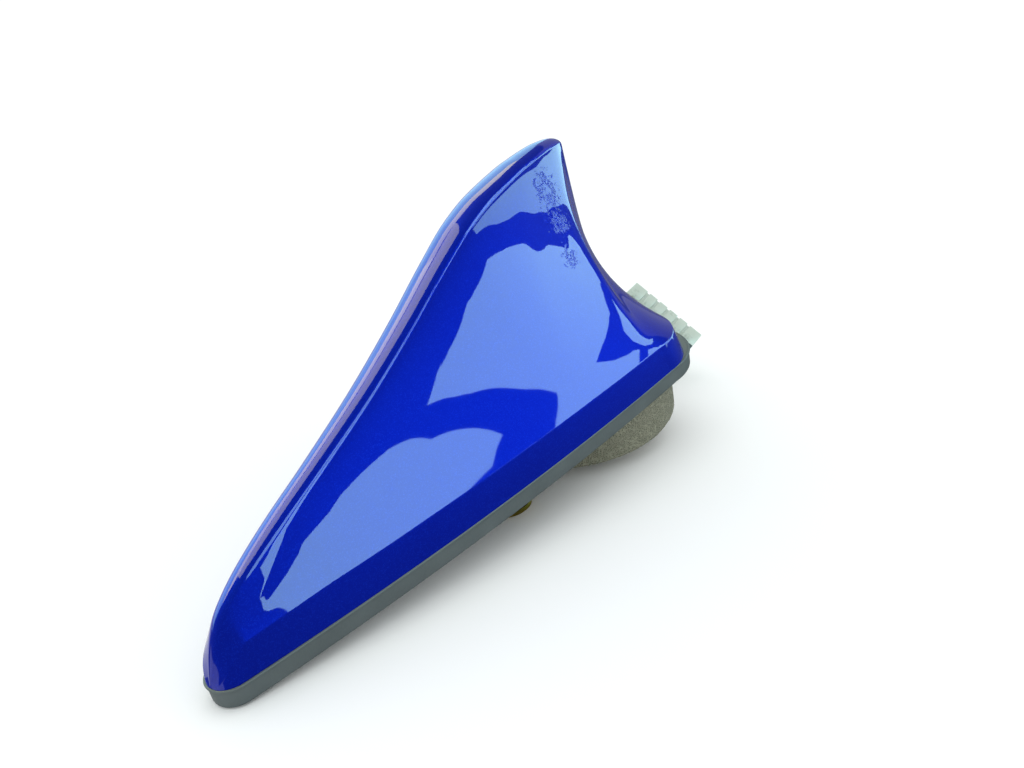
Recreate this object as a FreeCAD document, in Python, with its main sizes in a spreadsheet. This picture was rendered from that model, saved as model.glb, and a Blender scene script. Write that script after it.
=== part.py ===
"""Roof fin antenna: painted cover, gasket, die-cast base, radio parts and a short cable with its plug."""
import FreeCAD
import Part

import math
import os
import re

import Sketcher

DIMENSIONS = {
    # Plan of the gasket, measured from its nose
    "part_length": 165.0,
    "nose_reach": 88.0,
    "nose_radius": 5.6,
    "belly_station": 70.0,
    "belly_width": 46.4,
    "corner_station": 140.0,
    "gasket_width": 72.0,
    "corner_bulge": 3.6,
    "tail_width": 55.0,
    "tail_bulge": 6.4,
    # Gasket
    "gasket_height": 5.0,
    "gasket_floor": 1.5,
    "rim_width": 4.0,
    "flange_width": 8.0,
    # Cover
    "tail_lip": 3.5,
    "cover_step": 0.2,
    "cover_height": 67.0,
    "skirt_height": 7.5,
    "shoulder_setback": 2.2,
    "crown_width": 9.4,
    "crown_drop": 1.6,
    "cover_wall": 2.4,
    "hollow_crown": 0.6,
    "pillar_radius": 3.4,
    "pilot_radius": 1.1,
    "pilot_depth": 6.0,
    # Base plate and its boss
    "seat_gap": 0.3,
    "plate_thickness": 3.0,
    "boss_radius": 8.5,
    "boss_reach": 11.0,
    "thread_radius": 3.4,
    "thread_depth": 12.5,
    "key_depth": 2.5,
    "key_width": 5.0,
    "key_height": 6.0,
    "seal_width": 4.0,
    "seal_depth": 1.5,
    "front_pillar": 56.0,
    "side_pillar_x": 30.0,
    "side_pillar_y": 21.0,
    "rear_pillar": 61.0,
    "screw_radius": 1.4,
    "screw_head_radius": 2.5,
    "screw_head": 1.5,
    "screw_length": 7.0,
    "screw_gap": 0.15,
    # Retaining claw
    "claw_sheet": 1.0,
    "claw_length": 13.0,
    "claw_width": 20.0,
    "claw_hole_radius": 4.5,
    "wing_length": 11.0,
    "wing_reach": 6.0,
    "wing_rise": 8.0,
    # Circuit board and what stands on it
    "post_height": 4.5,
    "post_radius": 2.2,
    "board_length": 80.0,
    "board_width": 26.0,
    "board_thickness": 1.6,
    "board_front": 36.0,
    "board_screw_inset": 3.5,
    "board_screw_radius": 1.0,
    "board_head_radius": 2.0,
    "board_head": 1.2,
    "board_screw_clear": 1.0,
    "can_length": 12.5,
    "can_width": 18.0,
    "can_height": 2.6,
    "can_wall": 0.3,
    "can_front": 25.0,
    "patch_side": 18.0,
    "patch_height": 4.0,
    "patch_front": 29.0,
    "pin_radius": 0.5,
    "pin_head_radius": 0.9,
    "pin_head": 0.4,
    "pin_hole_gap": 0.1,
    "carrier_front": 4.0,
    "carrier_thickness": 1.6,
    "carrier_foot": 42.0,
    "carrier_rise": 26.0,
    "carrier_back": 55.0,
    "carrier_top": 43.0,
    "plate_drop": 9.0,
    "plate_sheet": 0.4,
    "plate_gap": 0.1,
    "coil_radius": 3.4,
    "coil_core_radius": 1.4,
    "coil_height": 11.0,
    "coil_turns": 8.0,
    "coil_station": 6.0,
    "wire_groove": 0.45,
    "contact_width": 1.5,
    "contact_sheet": 0.4,
    "cell_front": 16.0,
    "cell_length": 20.0,
    "cell_height": 14.0,
    "cell_sheet": 1.0,
    "cell_shift": 7.5,
    "chip_length": 4.0,
    "chip_width": 3.0,
    "chip_height": 0.9,
    "chip_pitch": 7.0,
    "chip_count": 3.0,
    "chip_front": 17.0,
    "chip_shift": 9.5,
    # Cable, boot and foam
    "cable_radius": 2.3,
    "boot_station": 20.0,
    "boot_radius": 4.4,
    "boot_depth": 9.5,
    "boot_mouth": 31.0,
    "boot_nose_radius": 3.5,
    "cable_drop": 5.5,
    "boot_gap": 0.15,
    "foam_radius": 29.5,
    "foam_thickness": 13.0,
    "foam_station": 47.0,
    "foam_shift": -3.5,
    "foam_gap": 0.4,
    "foam_web": 1.2,
    "slot_width": 14.0,
    "slot_shift": -3.4,
    # Plug at the cable's end
    "plug_length": 10.5,
    "plug_width": 28.0,
    "plug_height": 7.5,
    "plug_lean": 39.0,
    "plug_wall": 1.2,
    "cavity_count": 6.0,
    "cavity_depth": 6.5,
    "cavity_height": 3.6,
    "comb_width": 1.0,
    "comb_depth": 1.2,
    "retainer_height": 1.2,
    "retainer_length": 2.6,
    "contact_radius": 0.5,
    "contact_length": 4.5,
}

# Cross-sections of the cover from nose to tail: share of its length, share of its height at the spine,
# share of the crown's width, how hollow the side is, and how far it leans forward for each mm of height
COVER_SECTIONS = [
    (0.0070, 0.120, 0.16, 1.00, 0.000),
    (0.0160, 0.167, 0.26, 1.00, 0.000),
    (0.0290, 0.220, 0.35, 1.02, 0.000),
    (0.0450, 0.266, 0.42, 1.05, 0.000),
    (0.0650, 0.301, 0.48, 1.10, 0.000),
    (0.0940, 0.340, 0.54, 1.15, 0.000),
    (0.1550, 0.403, 0.62, 1.20, 0.000),
    (0.2480, 0.484, 0.68, 1.25, 0.000),
    (0.3590, 0.587, 0.77, 1.30, 0.000),
    (0.4710, 0.711, 0.85, 1.35, 0.000),
    (0.5700, 0.833, 0.92, 1.40, 0.000),
    (0.6440, 0.914, 0.98, 1.45, 0.000),
    (0.7060, 0.957, 1.00, 1.55, 0.000),
    (0.7800, 0.983, 0.98, 1.75, 0.020),
    (0.8550, 0.997, 0.92, 2.20, 0.050),
    (0.9100, 1.000, 0.81, 3.00, 0.080),
    (0.9480, 0.994, 0.68, 4.20, 0.090),
    (0.9720, 0.984, 0.53, 5.20, 0.100),
    (0.9880, 0.969, 0.38, 6.00, 0.105),
    (0.9970, 0.946, 0.21, 6.50, 0.110),
]
CAVITY_SECTIONS = COVER_SECTIONS[3:18]
# Side of a section: points of the rounded skirt (share up, share inwards) and of the hollow flank above it,
# and the share of the curve that the skirt takes
SKIRT_POINTS = ((0.0, 0.0), (0.40, 0.05), (0.75, 0.32), (1.0, 1.0))
SIDE_SHARES = (0.05, 0.12, 0.22, 0.36, 0.52, 0.70, 0.86, 1.0)
SKIRT_RUN = 0.25
# At the low nose the skirt keeps to this share of the section's height, and its setback eases in over
# this many skirt heights of half width
NOSE_SKIRT = 0.62
NOSE_EASE = 1.6
# A narrow crown is flatter: it reaches its full drop at a third of the crown's width
CROWN_RATE = 3.0
# The side leaves the nose this much steeper than the straight run to the belly
SIDE_LEAD = 1.1
# Share of the shorter run that a bend of the cable takes
BEND_SHARE = 0.45
# How far a cutting tool reaches past what it cuts
OVERRUN = 1.0

# Route of the cable, from the boot's mouth to the back of the plug
CABLE_ROUTE = [
    (31.0, 0.0, -5.5),
    (42.0, 0.0, -5.5),
    (56.0, -1.6, -6.1),
    (70.0, -5.4, -7.3),
    (82.0, -7.2, -7.9),
    (93.5, -7.2, -7.9),
]

doc = FreeCAD.newDocument("roof_fin_antenna")
sheet = doc.addObject("Spreadsheet::Sheet", "sizes")
for row, (alias, value) in enumerate(DIMENSIONS.items(), start=1):
    sheet.set(f"A{row}", alias)
    sheet.set(f"B{row}", str(value))
    sheet.setAlias(f"B{row}", alias)
doc.recompute()
nodes = []


def size(alias):
    """A driving dimension, read from the sheet."""
    return float(getattr(sheet, alias))


def bind(obj, prop, text):
    """Tie a property to sizes named in the text."""
    obj.setExpression(prop, re.sub(r"[a-z]\w*", r"sizes.\g<0>", text))


def place(obj, x, y, z):
    """Tie an object's position to sizes."""
    for axis, text in (("x", x), ("y", y), ("z", z)):
        bind(obj, f"Placement.Base.{axis}", text)


def box(name, length, width, height, x, y, z):
    """A block with its lowest corner at x, y, z."""
    block = doc.addObject("Part::Box", name)
    bind(block, "Length", length)
    bind(block, "Width", width)
    bind(block, "Height", height)
    place(block, x, y, z)
    return block


def cylinder(name, radius, height, x, y, z):
    """A round bar that stands at x, y, z."""
    bar = doc.addObject("Part::Cylinder", name)
    bind(bar, "Radius", radius)
    bind(bar, "Height", height)
    place(bar, x, y, z)
    return bar


def fuse(name, pieces):
    """Several pieces made one."""
    joined = doc.addObject("Part::MultiFuse", name)
    joined.Shapes = pieces
    joined.Refine = True
    return joined


def cut(name, base, tools):
    """A piece with tools taken away from it."""
    tool = tools[0] if len(tools) == 1 else fuse(name + "_tools", tools)
    carved = doc.addObject("Part::Cut", name)
    carved.Base = base
    carved.Tool = tool
    carved.Refine = True
    return carved


def node(label, obj):
    """Register a finished sub-part under its label."""
    obj.Label = label
    nodes.append(obj)
    return obj


def shaped(name, shape):
    """A sub-part whose surface no feature gives."""
    piece = doc.addObject("Part::Feature", name)
    piece.Shape = shape
    piece.Placement = FreeCAD.Placement()
    return piece


def origin_plane(body, role):
    """One of a body's own origin planes."""
    return next(plane for plane in body.Origin.OriginFeatures if plane.Role == role)


def sketch_polygon(body, name, role, corners):
    """A closed sketch whose corners are tied to sizes."""
    sketch = body.newObject("Sketcher::SketchObject", name)
    sketch.AttachmentSupport = [(origin_plane(body, role), "")]
    sketch.MapMode = "FlatFace"
    count = len(corners)
    for index in range(count):
        start = FreeCAD.Vector(10.0 * index + 1.0, index % 2 + 1.0, 0.0)
        finish = FreeCAD.Vector(10.0 * index + 9.0, index % 2 + 2.0, 0.0)
        sketch.addGeometry(Part.LineSegment(start, finish), False)
    for index in range(count):
        sketch.addConstraint(Sketcher.Constraint("Coincident", index, 2, (index + 1) % count, 1))
    for index, (across, up) in enumerate(corners):
        for kind, text in (("DistanceX", across), ("DistanceY", up)):
            number = sketch.addConstraint(Sketcher.Constraint(kind, -1, 1, index, 1, 1.0))
            bind(sketch, f"Constraints[{number}]", text)
    return sketch


def pad(body, name, sketch, length):
    """A pad of a sketch to both sides of its plane."""
    block = body.newObject("PartDesign::Pad", name)
    block.Profile = sketch
    block.Midplane = True
    bind(block, "Length", length)
    return block


def circle_through(first, second, third):
    """Centre and radius of the circle through three plan points."""
    ring = Part.Circle(*(FreeCAD.Vector(x, y, 0.0) for x, y in (first, second, third)))
    return ring.Center, ring.Radius


def plan_points():
    """Joints of one side of the plan, from the nose: side start, belly, corner, bulge, tail end, tail."""
    radius = size("nose_radius")
    belly = (size("belly_station"), size("belly_width") / 2)
    corner = (size("corner_station"), size("gasket_width") / 2)
    slope = (belly[1] - radius) / (belly[0] - radius) * SIDE_LEAD
    lean = math.atan(slope)
    start = (radius * (1 - math.sin(lean)), radius * math.cos(lean))
    tail_end = (size("part_length") - size("tail_bulge"), size("tail_width") / 2)
    run = (tail_end[0] - corner[0], tail_end[1] - corner[1])
    reach = math.hypot(*run)
    out = (-run[1] / reach * size("corner_bulge"), run[0] / reach * size("corner_bulge"))
    bulge = ((corner[0] + tail_end[0]) / 2 + out[0], (corner[1] + tail_end[1]) / 2 + out[1])
    return start, belly, corner, bulge, tail_end, (size("part_length"), 0.0)


def plan_half_width(station):
    """Half the gasket's width at a station from the nose."""
    start, belly, corner, bulge, tail_end, tail = plan_points()
    if station <= start[0]:
        radius = size("nose_radius")
        return math.sqrt(max(radius ** 2 - (station - radius) ** 2, 0.0))
    if station <= corner[0]:
        centre, radius = circle_through(start, belly, corner)
        return centre.y + math.sqrt(radius ** 2 - (station - centre.x) ** 2)
    if station <= tail_end[0]:
        centre, radius = circle_through(corner, bulge, tail_end)
        return centre.y + math.sqrt(radius ** 2 - (station - centre.x) ** 2)
    mirrored = (tail_end[0], -tail_end[1])
    centre, radius = circle_through(tail_end, tail, mirrored)
    return math.sqrt(max(radius ** 2 - (station - centre.x) ** 2, 0.0))


def plan_wire(inset, level):
    """The gasket's outline, moved inwards, at a level."""
    start, belly, corner, bulge, tail_end, tail = plan_points()
    chain = [(start, belly, corner), (corner, bulge, tail_end)]
    edges = []
    for side in (1, -1):
        for trio in chain:
            edges.append(Part.Arc(*(plan_vector(x, y * side, level) for x, y in trio)).toShape())
    ends = [plan_vector(tail_end[0], tail_end[1] * side, level) for side in (1, -1)]
    edges.append(Part.Arc(ends[0], plan_vector(tail[0], 0.0, level), ends[1]).toShape())
    fronts = [plan_vector(start[0], start[1] * side, level) for side in (1, -1)]
    edges.append(Part.Arc(fronts[0], plan_vector(0.0, 0.0, level), fronts[1]).toShape())
    wire = Part.Wire(Part.__sortEdges__(edges))
    return wire.makeOffset2D(-inset) if inset else wire


def plan_vector(station, y, level):
    """A point given by its station from the nose."""
    return FreeCAD.Vector(station - size("nose_reach"), y, level)


def slab(inset, low, high):
    """A plate with the gasket's outline, moved inwards, between two levels."""
    return Part.Face(plan_wire(inset, low)).extrude(FreeCAD.Vector(0.0, 0.0, high - low))


def round_bar(radius, x, y, low, high):
    """An upright bar between two levels."""
    return Part.makeCylinder(radius, high - low, FreeCAD.Vector(x, y, low))


def cover_section(row, inset, level):
    """One cross-section of the cover, or of its hollow where inset is the wall, as a closed wire."""
    share, height_share, crown_share, hollow, lean = row
    length = size("part_length") - size("tail_lip")
    station = share * length
    half = plan_half_width(share * size("part_length")) - size("cover_step") - inset
    crown = max(size("crown_width") / 2 * crown_share - inset, size("hollow_crown"))
    spine = height_share * size("cover_height") - inset
    ease = min(1.0, half / size("skirt_height") / NOSE_EASE)
    crease = spine - size("crown_drop") * min(1.0, CROWN_RATE * crown / size("crown_width"))
    shoulder = min(level + size("skirt_height"), level + NOSE_SKIRT * (crease - level))
    setback = size("shoulder_setback") * ease

    def point(y, z):
        return plan_vector(station - lean * (z - level), y, z)

    outline = [(half - setback * inwards, level + (shoulder - level) * up) for up, inwards in SKIRT_POINTS]
    foot = half - setback
    stops = [SKIRT_RUN * up for up, _ in SKIRT_POINTS]
    for climb in SIDE_SHARES:
        stops.append(SKIRT_RUN + (1 - SKIRT_RUN) * climb)
        flank = crown + (foot - crown) * (1 - climb) ** hollow
        outline.append((flank, shoulder + (crease - shoulder) * climb))
    left = Part.BSplineCurve()
    left.interpolate([point(-y, z) for y, z in outline], Parameters=stops)
    right = Part.BSplineCurve()
    back = [1 - stop for stop in reversed(stops)]
    right.interpolate([point(y, z) for y, z in reversed(outline)], Parameters=back)
    top = Part.Arc(point(-crown, crease), point(0.0, spine), point(crown, crease))
    base = Part.LineSegment(point(half, level), point(-half, level))
    return Part.Wire([curve.toShape() for curve in (left, top, right, base)])


def pillar_places():
    """Where the cover's screw pillars stand."""
    side = size("side_pillar_x")
    reach = size("side_pillar_y")
    return [(-size("front_pillar"), 0.0), (side, -reach), (side, reach), (size("rear_pillar"), 0.0)]


def make_cover():
    """The moulded cover: a hollow loft with screw pillars inside."""
    seat = size("gasket_height")
    wall = size("cover_wall")
    outer = Part.makeLoft([cover_section(row, 0.0, seat) for row in COVER_SECTIONS], True)
    hollow = Part.makeLoft([cover_section(row, wall, seat) for row in CAVITY_SECTIONS], True)
    shell = outer.cut(hollow)
    low = plate_top()
    pillars = [round_bar(size("pillar_radius"), x, y, seat, size("cover_height")) for x, y in pillar_places()]
    inside = [pillar.common(hollow) for pillar in pillars]
    stubs = [round_bar(size("pillar_radius"), x, y, low, seat) for x, y in pillar_places()]
    body = shell.multiFuse(inside + stubs).removeSplitter()
    deep = low + size("pilot_depth")
    pilots = [round_bar(size("pilot_radius"), x, y, low, deep) for x, y in pillar_places()]
    return body.cut(Part.makeCompound(pilots))


def plate_bottom():
    """Level of the base plate's underside."""
    return size("gasket_floor")


def plate_top():
    """Level of the base plate's upper face."""
    return plate_bottom() + size("plate_thickness")


def make_gasket():
    """The rubber tray: a rim round the base plate and a flange under it."""
    tray = slab(0.0, 0.0, size("gasket_height"))
    pocket = slab(size("rim_width"), size("gasket_floor"), size("gasket_height"))
    opening = slab(size("rim_width") + size("flange_width"), 0.0, size("gasket_floor"))
    return tray.cut(pocket).cut(opening)


def post_places():
    """Where the board's screws stand."""
    inset = size("board_screw_inset")
    ends = (inset - size("board_front"), size("board_length") - size("board_front") - inset)
    reach = size("board_width") / 2 - inset
    return [(x, y) for x in ends for y in (-reach, reach)]


def make_base_plate():
    """The die-cast plate with the boss and its key below and the board's posts above."""
    low = plate_bottom()
    top = plate_top()
    plate = slab(size("rim_width") + size("seat_gap"), low, top)
    boss = round_bar(size("boss_radius"), 0.0, 0.0, -size("boss_reach"), low)
    posts = [round_bar(size("post_radius"), x, y, top, top + size("post_height")) for x, y in post_places()]
    mouth = -size("boss_reach")
    key_corner = FreeCAD.Vector(-size("boss_radius") - size("key_depth"), -size("key_width") / 2, mouth)
    key = Part.makeBox(size("boss_radius"), size("key_width"), size("key_height"), key_corner)
    body = plate.multiFuse([boss, key] + posts).removeSplitter()
    holes = [round_bar(size("thread_radius"), 0.0, 0.0, mouth, mouth + size("thread_depth"))]
    gap = size("screw_gap")
    for x, y in pillar_places():
        holes.append(round_bar(size("screw_radius") + gap, x, y, low, top))
        holes.append(round_bar(size("screw_head_radius") + gap, x, y, low, low + size("screw_head") + gap))
    for x, y in post_places():
        holes.append(round_bar(size("board_screw_radius"), x, y, top, top + size("post_height")))
    holes.append(round_bar(size("boot_radius") + size("boot_gap"), size("boot_station"), 0.0, low, top))
    return body.cut(Part.makeCompound(holes))


def make_cover_screws():
    """The screws that hold the cover, from below."""
    low = plate_bottom() + size("screw_gap")
    head = size("screw_head")
    screws = []
    for x, y in pillar_places():
        top = round_bar(size("screw_head_radius"), x, y, low, low + head)
        shank = round_bar(size("pilot_radius"), x, y, low + head, low + size("screw_length"))
        screws.append(top.fuse(shank))
    return Part.makeCompound(screws)


def make_board_screws():
    """The screws that hold the board on its posts."""
    seat = board_top()
    low = plate_top() + size("board_screw_clear")
    screws = []
    for x, y in post_places():
        head = round_bar(size("board_head_radius"), x, y, seat, seat + size("board_head"))
        shank = round_bar(size("board_screw_radius"), x, y, low, seat)
        screws.append(head.fuse(shank))
    return Part.makeCompound(screws)


def board_top():
    """Level of the board's upper face."""
    return plate_top() + size("post_height") + size("board_thickness")


def make_claw():
    """The spring plate under the boss, with two round-ended wings that rise towards the roof sheet."""
    top = -size("boss_reach")
    gauge = size("claw_sheet")
    half = size("claw_width") / 2
    length = size("claw_length")
    plate = Part.makeBox(length, 2 * half, gauge, FreeCAD.Vector(-length / 2, -half, top - gauge))
    wings = [make_wing(side, half, top - gauge) for side in (-1, 1)]
    hole = round_bar(size("claw_hole_radius"), 0.0, 0.0, top - gauge, top)
    return plate.multiFuse(wings).cut(hole).removeSplitter()


def make_wing(side, root, level):
    """One wing: a tongue with a round end, turned up about the plate's edge."""
    radius = size("wing_length") / 2
    reach = size("wing_reach")
    gauge = size("claw_sheet")
    centre = root + reach - radius
    tongue = Part.makeBox(2 * radius, centre, gauge, FreeCAD.Vector(-radius, 0.0, level))
    end = round_bar(radius, 0.0, centre, level, level + gauge)
    clear = Part.makeBox(4 * radius, root, gauge, FreeCAD.Vector(-2 * radius, 0.0, level))
    outside = tongue.fuse(end).cut(clear)
    hinge = FreeCAD.Vector(0.0, root, level)
    along = FreeCAD.Vector(1.0, 0.0, 0.0)
    outside.rotate(hinge, along, size("wing_rise"))
    return outside if side > 0 else outside.mirror(FreeCAD.Vector(), FreeCAD.Vector(0.0, 1.0, 0.0))


def make_seal():
    """The rubber ring round the boss."""
    inner = size("boss_radius") + size("seat_gap")
    outer = inner + size("seal_width")
    low = -size("seal_depth")
    ring = round_bar(outer, 0.0, 0.0, low, plate_bottom())
    return ring.cut(round_bar(inner, 0.0, 0.0, low, plate_bottom()))


def make_coil():
    """The wound coil on its former: a bar with a groove between its turns."""
    low = board_top()
    turns = int(size("coil_turns"))
    pitch = size("coil_height") / turns
    former = round_bar(size("coil_radius"), -size("coil_station"), 0.0, low, low + size("coil_height"))
    grooves = []
    for turn in range(1, turns):
        middle = FreeCAD.Vector(-size("coil_station"), 0.0, low + turn * pitch)
        grooves.append(Part.makeTorus(size("coil_radius"), size("wire_groove"), middle))
    core = round_bar(size("coil_core_radius"), -size("coil_station"), 0.0, low, low + size("coil_height"))
    return former.cut(Part.makeCompound(grooves)).cut(core)


def make_chips():
    """The chips in a row on the board."""
    low = board_top()
    chips = []
    for step in range(int(size("chip_count"))):
        corner = FreeCAD.Vector(size("chip_front") + step * size("chip_pitch"), -size("chip_shift"), low)
        chips.append(Part.makeBox(size("chip_length"), size("chip_width"), size("chip_height"), corner))
    return Part.makeCompound(chips)


def make_boot():
    """The moulded elbow: a stem through the plate and a nose that points to the tail."""
    station = size("boot_station")
    drop = -size("cable_drop")
    high = plate_top() + size("post_height")
    along = FreeCAD.Vector(1.0, 0.0, 0.0)
    stem = round_bar(size("boot_radius"), station, 0.0, -size("boot_depth"), high)
    reach = size("boot_mouth") - station
    nose = Part.makeCylinder(size("boot_nose_radius"), reach, FreeCAD.Vector(station, 0.0, drop), along)
    return stem.fuse(nose).removeSplitter()


def make_foam():
    """The foam disc under the tail, with a slot below for the boot and the cable."""
    station = size("foam_station")
    low = -size("foam_thickness")
    disc = round_bar(size("foam_radius"), station, size("foam_shift"), low, 0.0)
    gap = size("foam_gap")
    front = station - size("foam_radius") - OVERRUN
    mouth = size("boot_mouth") + gap
    wide = size("boot_radius") + gap
    pocket = Part.makeBox(mouth - front, 2 * wide, size("foam_thickness"), FreeCAD.Vector(front, -wide, low))
    ceiling = -size("foam_web") - low
    length = 2 * (size("foam_radius") + OVERRUN)
    edge = size("slot_shift") - size("slot_width") / 2
    slot = Part.makeBox(length, size("slot_width"), ceiling, FreeCAD.Vector(front, edge, low))
    return disc.cut(pocket).cut(slot)


def arc_route(points):
    """Straight runs joined by tangent arcs, each as large as its runs allow, and the arcs' radii."""
    knots = [FreeCAD.Vector(*point) for point in points]
    edges = []
    radii = []
    begin = knots[0]
    for before, corner, after in zip(knots, knots[1:], knots[2:]):
        towards = (corner - before).normalize()
        away = (after - corner).normalize()
        turn = towards.getAngle(away)
        back = BEND_SHARE * min((corner - before).Length, (after - corner).Length)
        radius = back / math.tan(turn / 2)
        radii.append(radius)
        enter = corner - towards * back
        leave = corner + away * back
        inward = (away - towards).normalize()
        middle = corner + inward * (radius / math.cos(turn / 2) - radius)
        edges.append(Part.LineSegment(begin, enter).toShape())
        edges.append(Part.Arc(enter, middle, leave).toShape())
        begin = leave
    edges.append(Part.LineSegment(begin, knots[-1]).toShape())
    return Part.Wire(edges), radii


def make_cable():
    """The short cable from the boot to the plug."""
    path, radii = arc_route(CABLE_ROUTE)
    start = FreeCAD.Vector(*CABLE_ROUTE[0])
    heading = FreeCAD.Vector(*CABLE_ROUTE[1]) - start
    ring = Part.Wire(Part.makeCircle(size("cable_radius"), start, heading))
    tube = path.makePipeShell([ring], True, False)
    print("cable length", round(path.Length, 1), "radii", [round(radius) for radius in radii])
    print("cable volume ratio", tube.Volume / (path.Length * math.pi * size("cable_radius") ** 2))
    return tube


def plug_place():
    """Where the plug lies: at the cable's end, leaning over about the cable."""
    back = FreeCAD.Vector(*CABLE_ROUTE[-1])
    return FreeCAD.Placement(back, FreeCAD.Rotation(FreeCAD.Vector(1.0, 0.0, 0.0), size("plug_lean")))


def cavity_centres():
    """Middles of the plug's cavities across its width."""
    count = int(size("cavity_count"))
    pitch = (size("plug_width") - 2 * size("plug_wall")) / count
    return [(index - (count - 1) / 2) * pitch for index in range(count)], pitch


def make_plug_housing():
    """The nylon housing: cavities in its mating face, a comb on its upper edge, a step for the retainer."""
    length = size("plug_length")
    width = size("plug_width")
    height = size("plug_height")
    body = Part.makeBox(length, width, height, FreeCAD.Vector(0.0, -width / 2, -height / 2))
    step = Part.makeBox(size("retainer_length"), width, size("retainer_height"),
                        FreeCAD.Vector(0.0, -width / 2, height / 2 - size("retainer_height")))
    body = body.cut(step)
    centres, pitch = cavity_centres()
    wall = size("plug_wall")
    tools = []
    for middle in centres:
        corner = FreeCAD.Vector(length - size("cavity_depth"), middle - (pitch - wall) / 2, wall - height / 2)
        tools.append(Part.makeBox(size("cavity_depth"), pitch - wall, size("cavity_height"), corner))
    for middle in centres[1:]:
        edge = middle - pitch / 2 - size("comb_width") / 2
        corner = FreeCAD.Vector(size("retainer_length"), edge, height / 2 - size("comb_depth"))
        tools.append(Part.makeBox(length, size("comb_width"), size("comb_depth"), corner))
    return body.cut(Part.makeCompound(tools))


def make_plug_retainer():
    """The dark strip that locks the contacts, in the housing's step."""
    width = size("plug_width")
    corner = FreeCAD.Vector(0.0, -width / 2, size("plug_height") / 2 - size("retainer_height"))
    return Part.makeBox(size("retainer_length"), width, size("retainer_height"), corner)


def make_plug_contacts():
    """The pins at the bottom of the plug's cavities."""
    centres, pitch = cavity_centres()
    floor = size("plug_length") - size("cavity_depth")
    level = size("plug_wall") + (size("cavity_height") - size("plug_height")) / 2
    pins = []
    for middle in centres:
        root = FreeCAD.Vector(floor, middle, level)
        pins.append(Part.makeCylinder(size("contact_radius"), size("contact_length"), root,
                                      FreeCAD.Vector(1.0, 0.0, 0.0)))
    return Part.makeCompound(pins)


def on_plug(shape):
    """A plug piece moved to the cable's end."""
    return shape.transformGeometry(plug_place().toMatrix())


# Housing pieces
node("fin_cover", shaped("fin_cover_shape", make_cover()))
node("rubber_gasket", shaped("rubber_gasket_shape", make_gasket()))
node("base_plate", shaped("base_plate_shape", make_base_plate()))
node("cover_screws", shaped("cover_screws_shape", make_cover_screws()))
node("board_screws", shaped("board_screws_shape", make_board_screws()))
node("boss_seal", shaped("boss_seal_shape", make_seal()))
node("retaining_claw", shaped("retaining_claw_shape", make_claw()))

# Circuit board on its posts
PLATE_TOP = "gasket_floor + plate_thickness"
BOARD_BOTTOM = PLATE_TOP + " + post_height"
BOARD_TOP = BOARD_BOTTOM + " + board_thickness"
board = box("board_blank", "board_length", "board_width", "board_thickness",
            "-board_front", "-board_width / 2", BOARD_BOTTOM)
board_holes = []
for side, y in (("left", "board_screw_inset - board_width / 2"),
                ("right", "board_width / 2 - board_screw_inset")):
    for end, x in (("front", "board_screw_inset - board_front"),
                   ("rear", "board_length - board_front - board_screw_inset")):
        board_holes.append(cylinder(f"board_hole_{end}_{side}", "board_screw_radius + screw_gap",
                                    "board_thickness", x, y, BOARD_BOTTOM))
board_holes.append(cylinder("pin_hole", "pin_radius + pin_hole_gap", "board_thickness",
                            "patch_side / 2 - patch_front", "0", BOARD_BOTTOM))
node("main_board", cut("main_board_cut", board, board_holes))

# Shield can under the board
can = box("can_outside", "can_length", "can_width", "can_height", "can_front", "-can_width / 2",
          BOARD_BOTTOM + " - can_height")
can_room = box("can_inside", "can_length - 2 * can_wall", "can_width - 2 * can_wall", "can_height - can_wall",
               "can_front + can_wall", "can_wall - can_width / 2",
               BOARD_BOTTOM + " - can_height + can_wall")
node("shield_can", cut("shield_can_cut", can, [can_room]))

# Patch antenna with its feed pin
patch = box("patch_block", "patch_side", "patch_side", "patch_height", "-patch_front", "-patch_side / 2",
            BOARD_TOP)
patch_hole = cylinder("patch_hole", "pin_radius + pin_hole_gap", "patch_height",
                      "patch_side / 2 - patch_front", "0", BOARD_TOP)
node("gnss_patch", cut("gnss_patch_cut", patch, [patch_hole]))
pin = cylinder("pin_shank", "pin_radius", "patch_height + board_thickness",
               "patch_side / 2 - patch_front", "0", BOARD_BOTTOM)
pin_head = cylinder("pin_head_disc", "pin_head_radius", "pin_head", "patch_side / 2 - patch_front",
                    "0", BOARD_TOP + " + patch_height")
node("gnss_feed_pin", fuse("gnss_feed_pin_fuse", [pin, pin_head]))

# Blade that carries the radio element
carrier = doc.addObject("PartDesign::Body", "element_carrier_body")
carrier_profile = sketch_polygon(carrier, "carrier_profile", "XZ_Plane", [
    ("carrier_front", BOARD_TOP),
    ("carrier_foot", BOARD_TOP),
    ("carrier_back", BOARD_TOP + " + carrier_top - carrier_rise"),
    ("carrier_back", BOARD_TOP + " + carrier_top"),
    ("(carrier_front + carrier_back) / 2", BOARD_TOP + " + carrier_top"),
    ("carrier_front", BOARD_TOP + " + carrier_rise"),
])
pad(carrier, "carrier_pad", carrier_profile, "carrier_thickness")
node("element_carrier", carrier)

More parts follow.
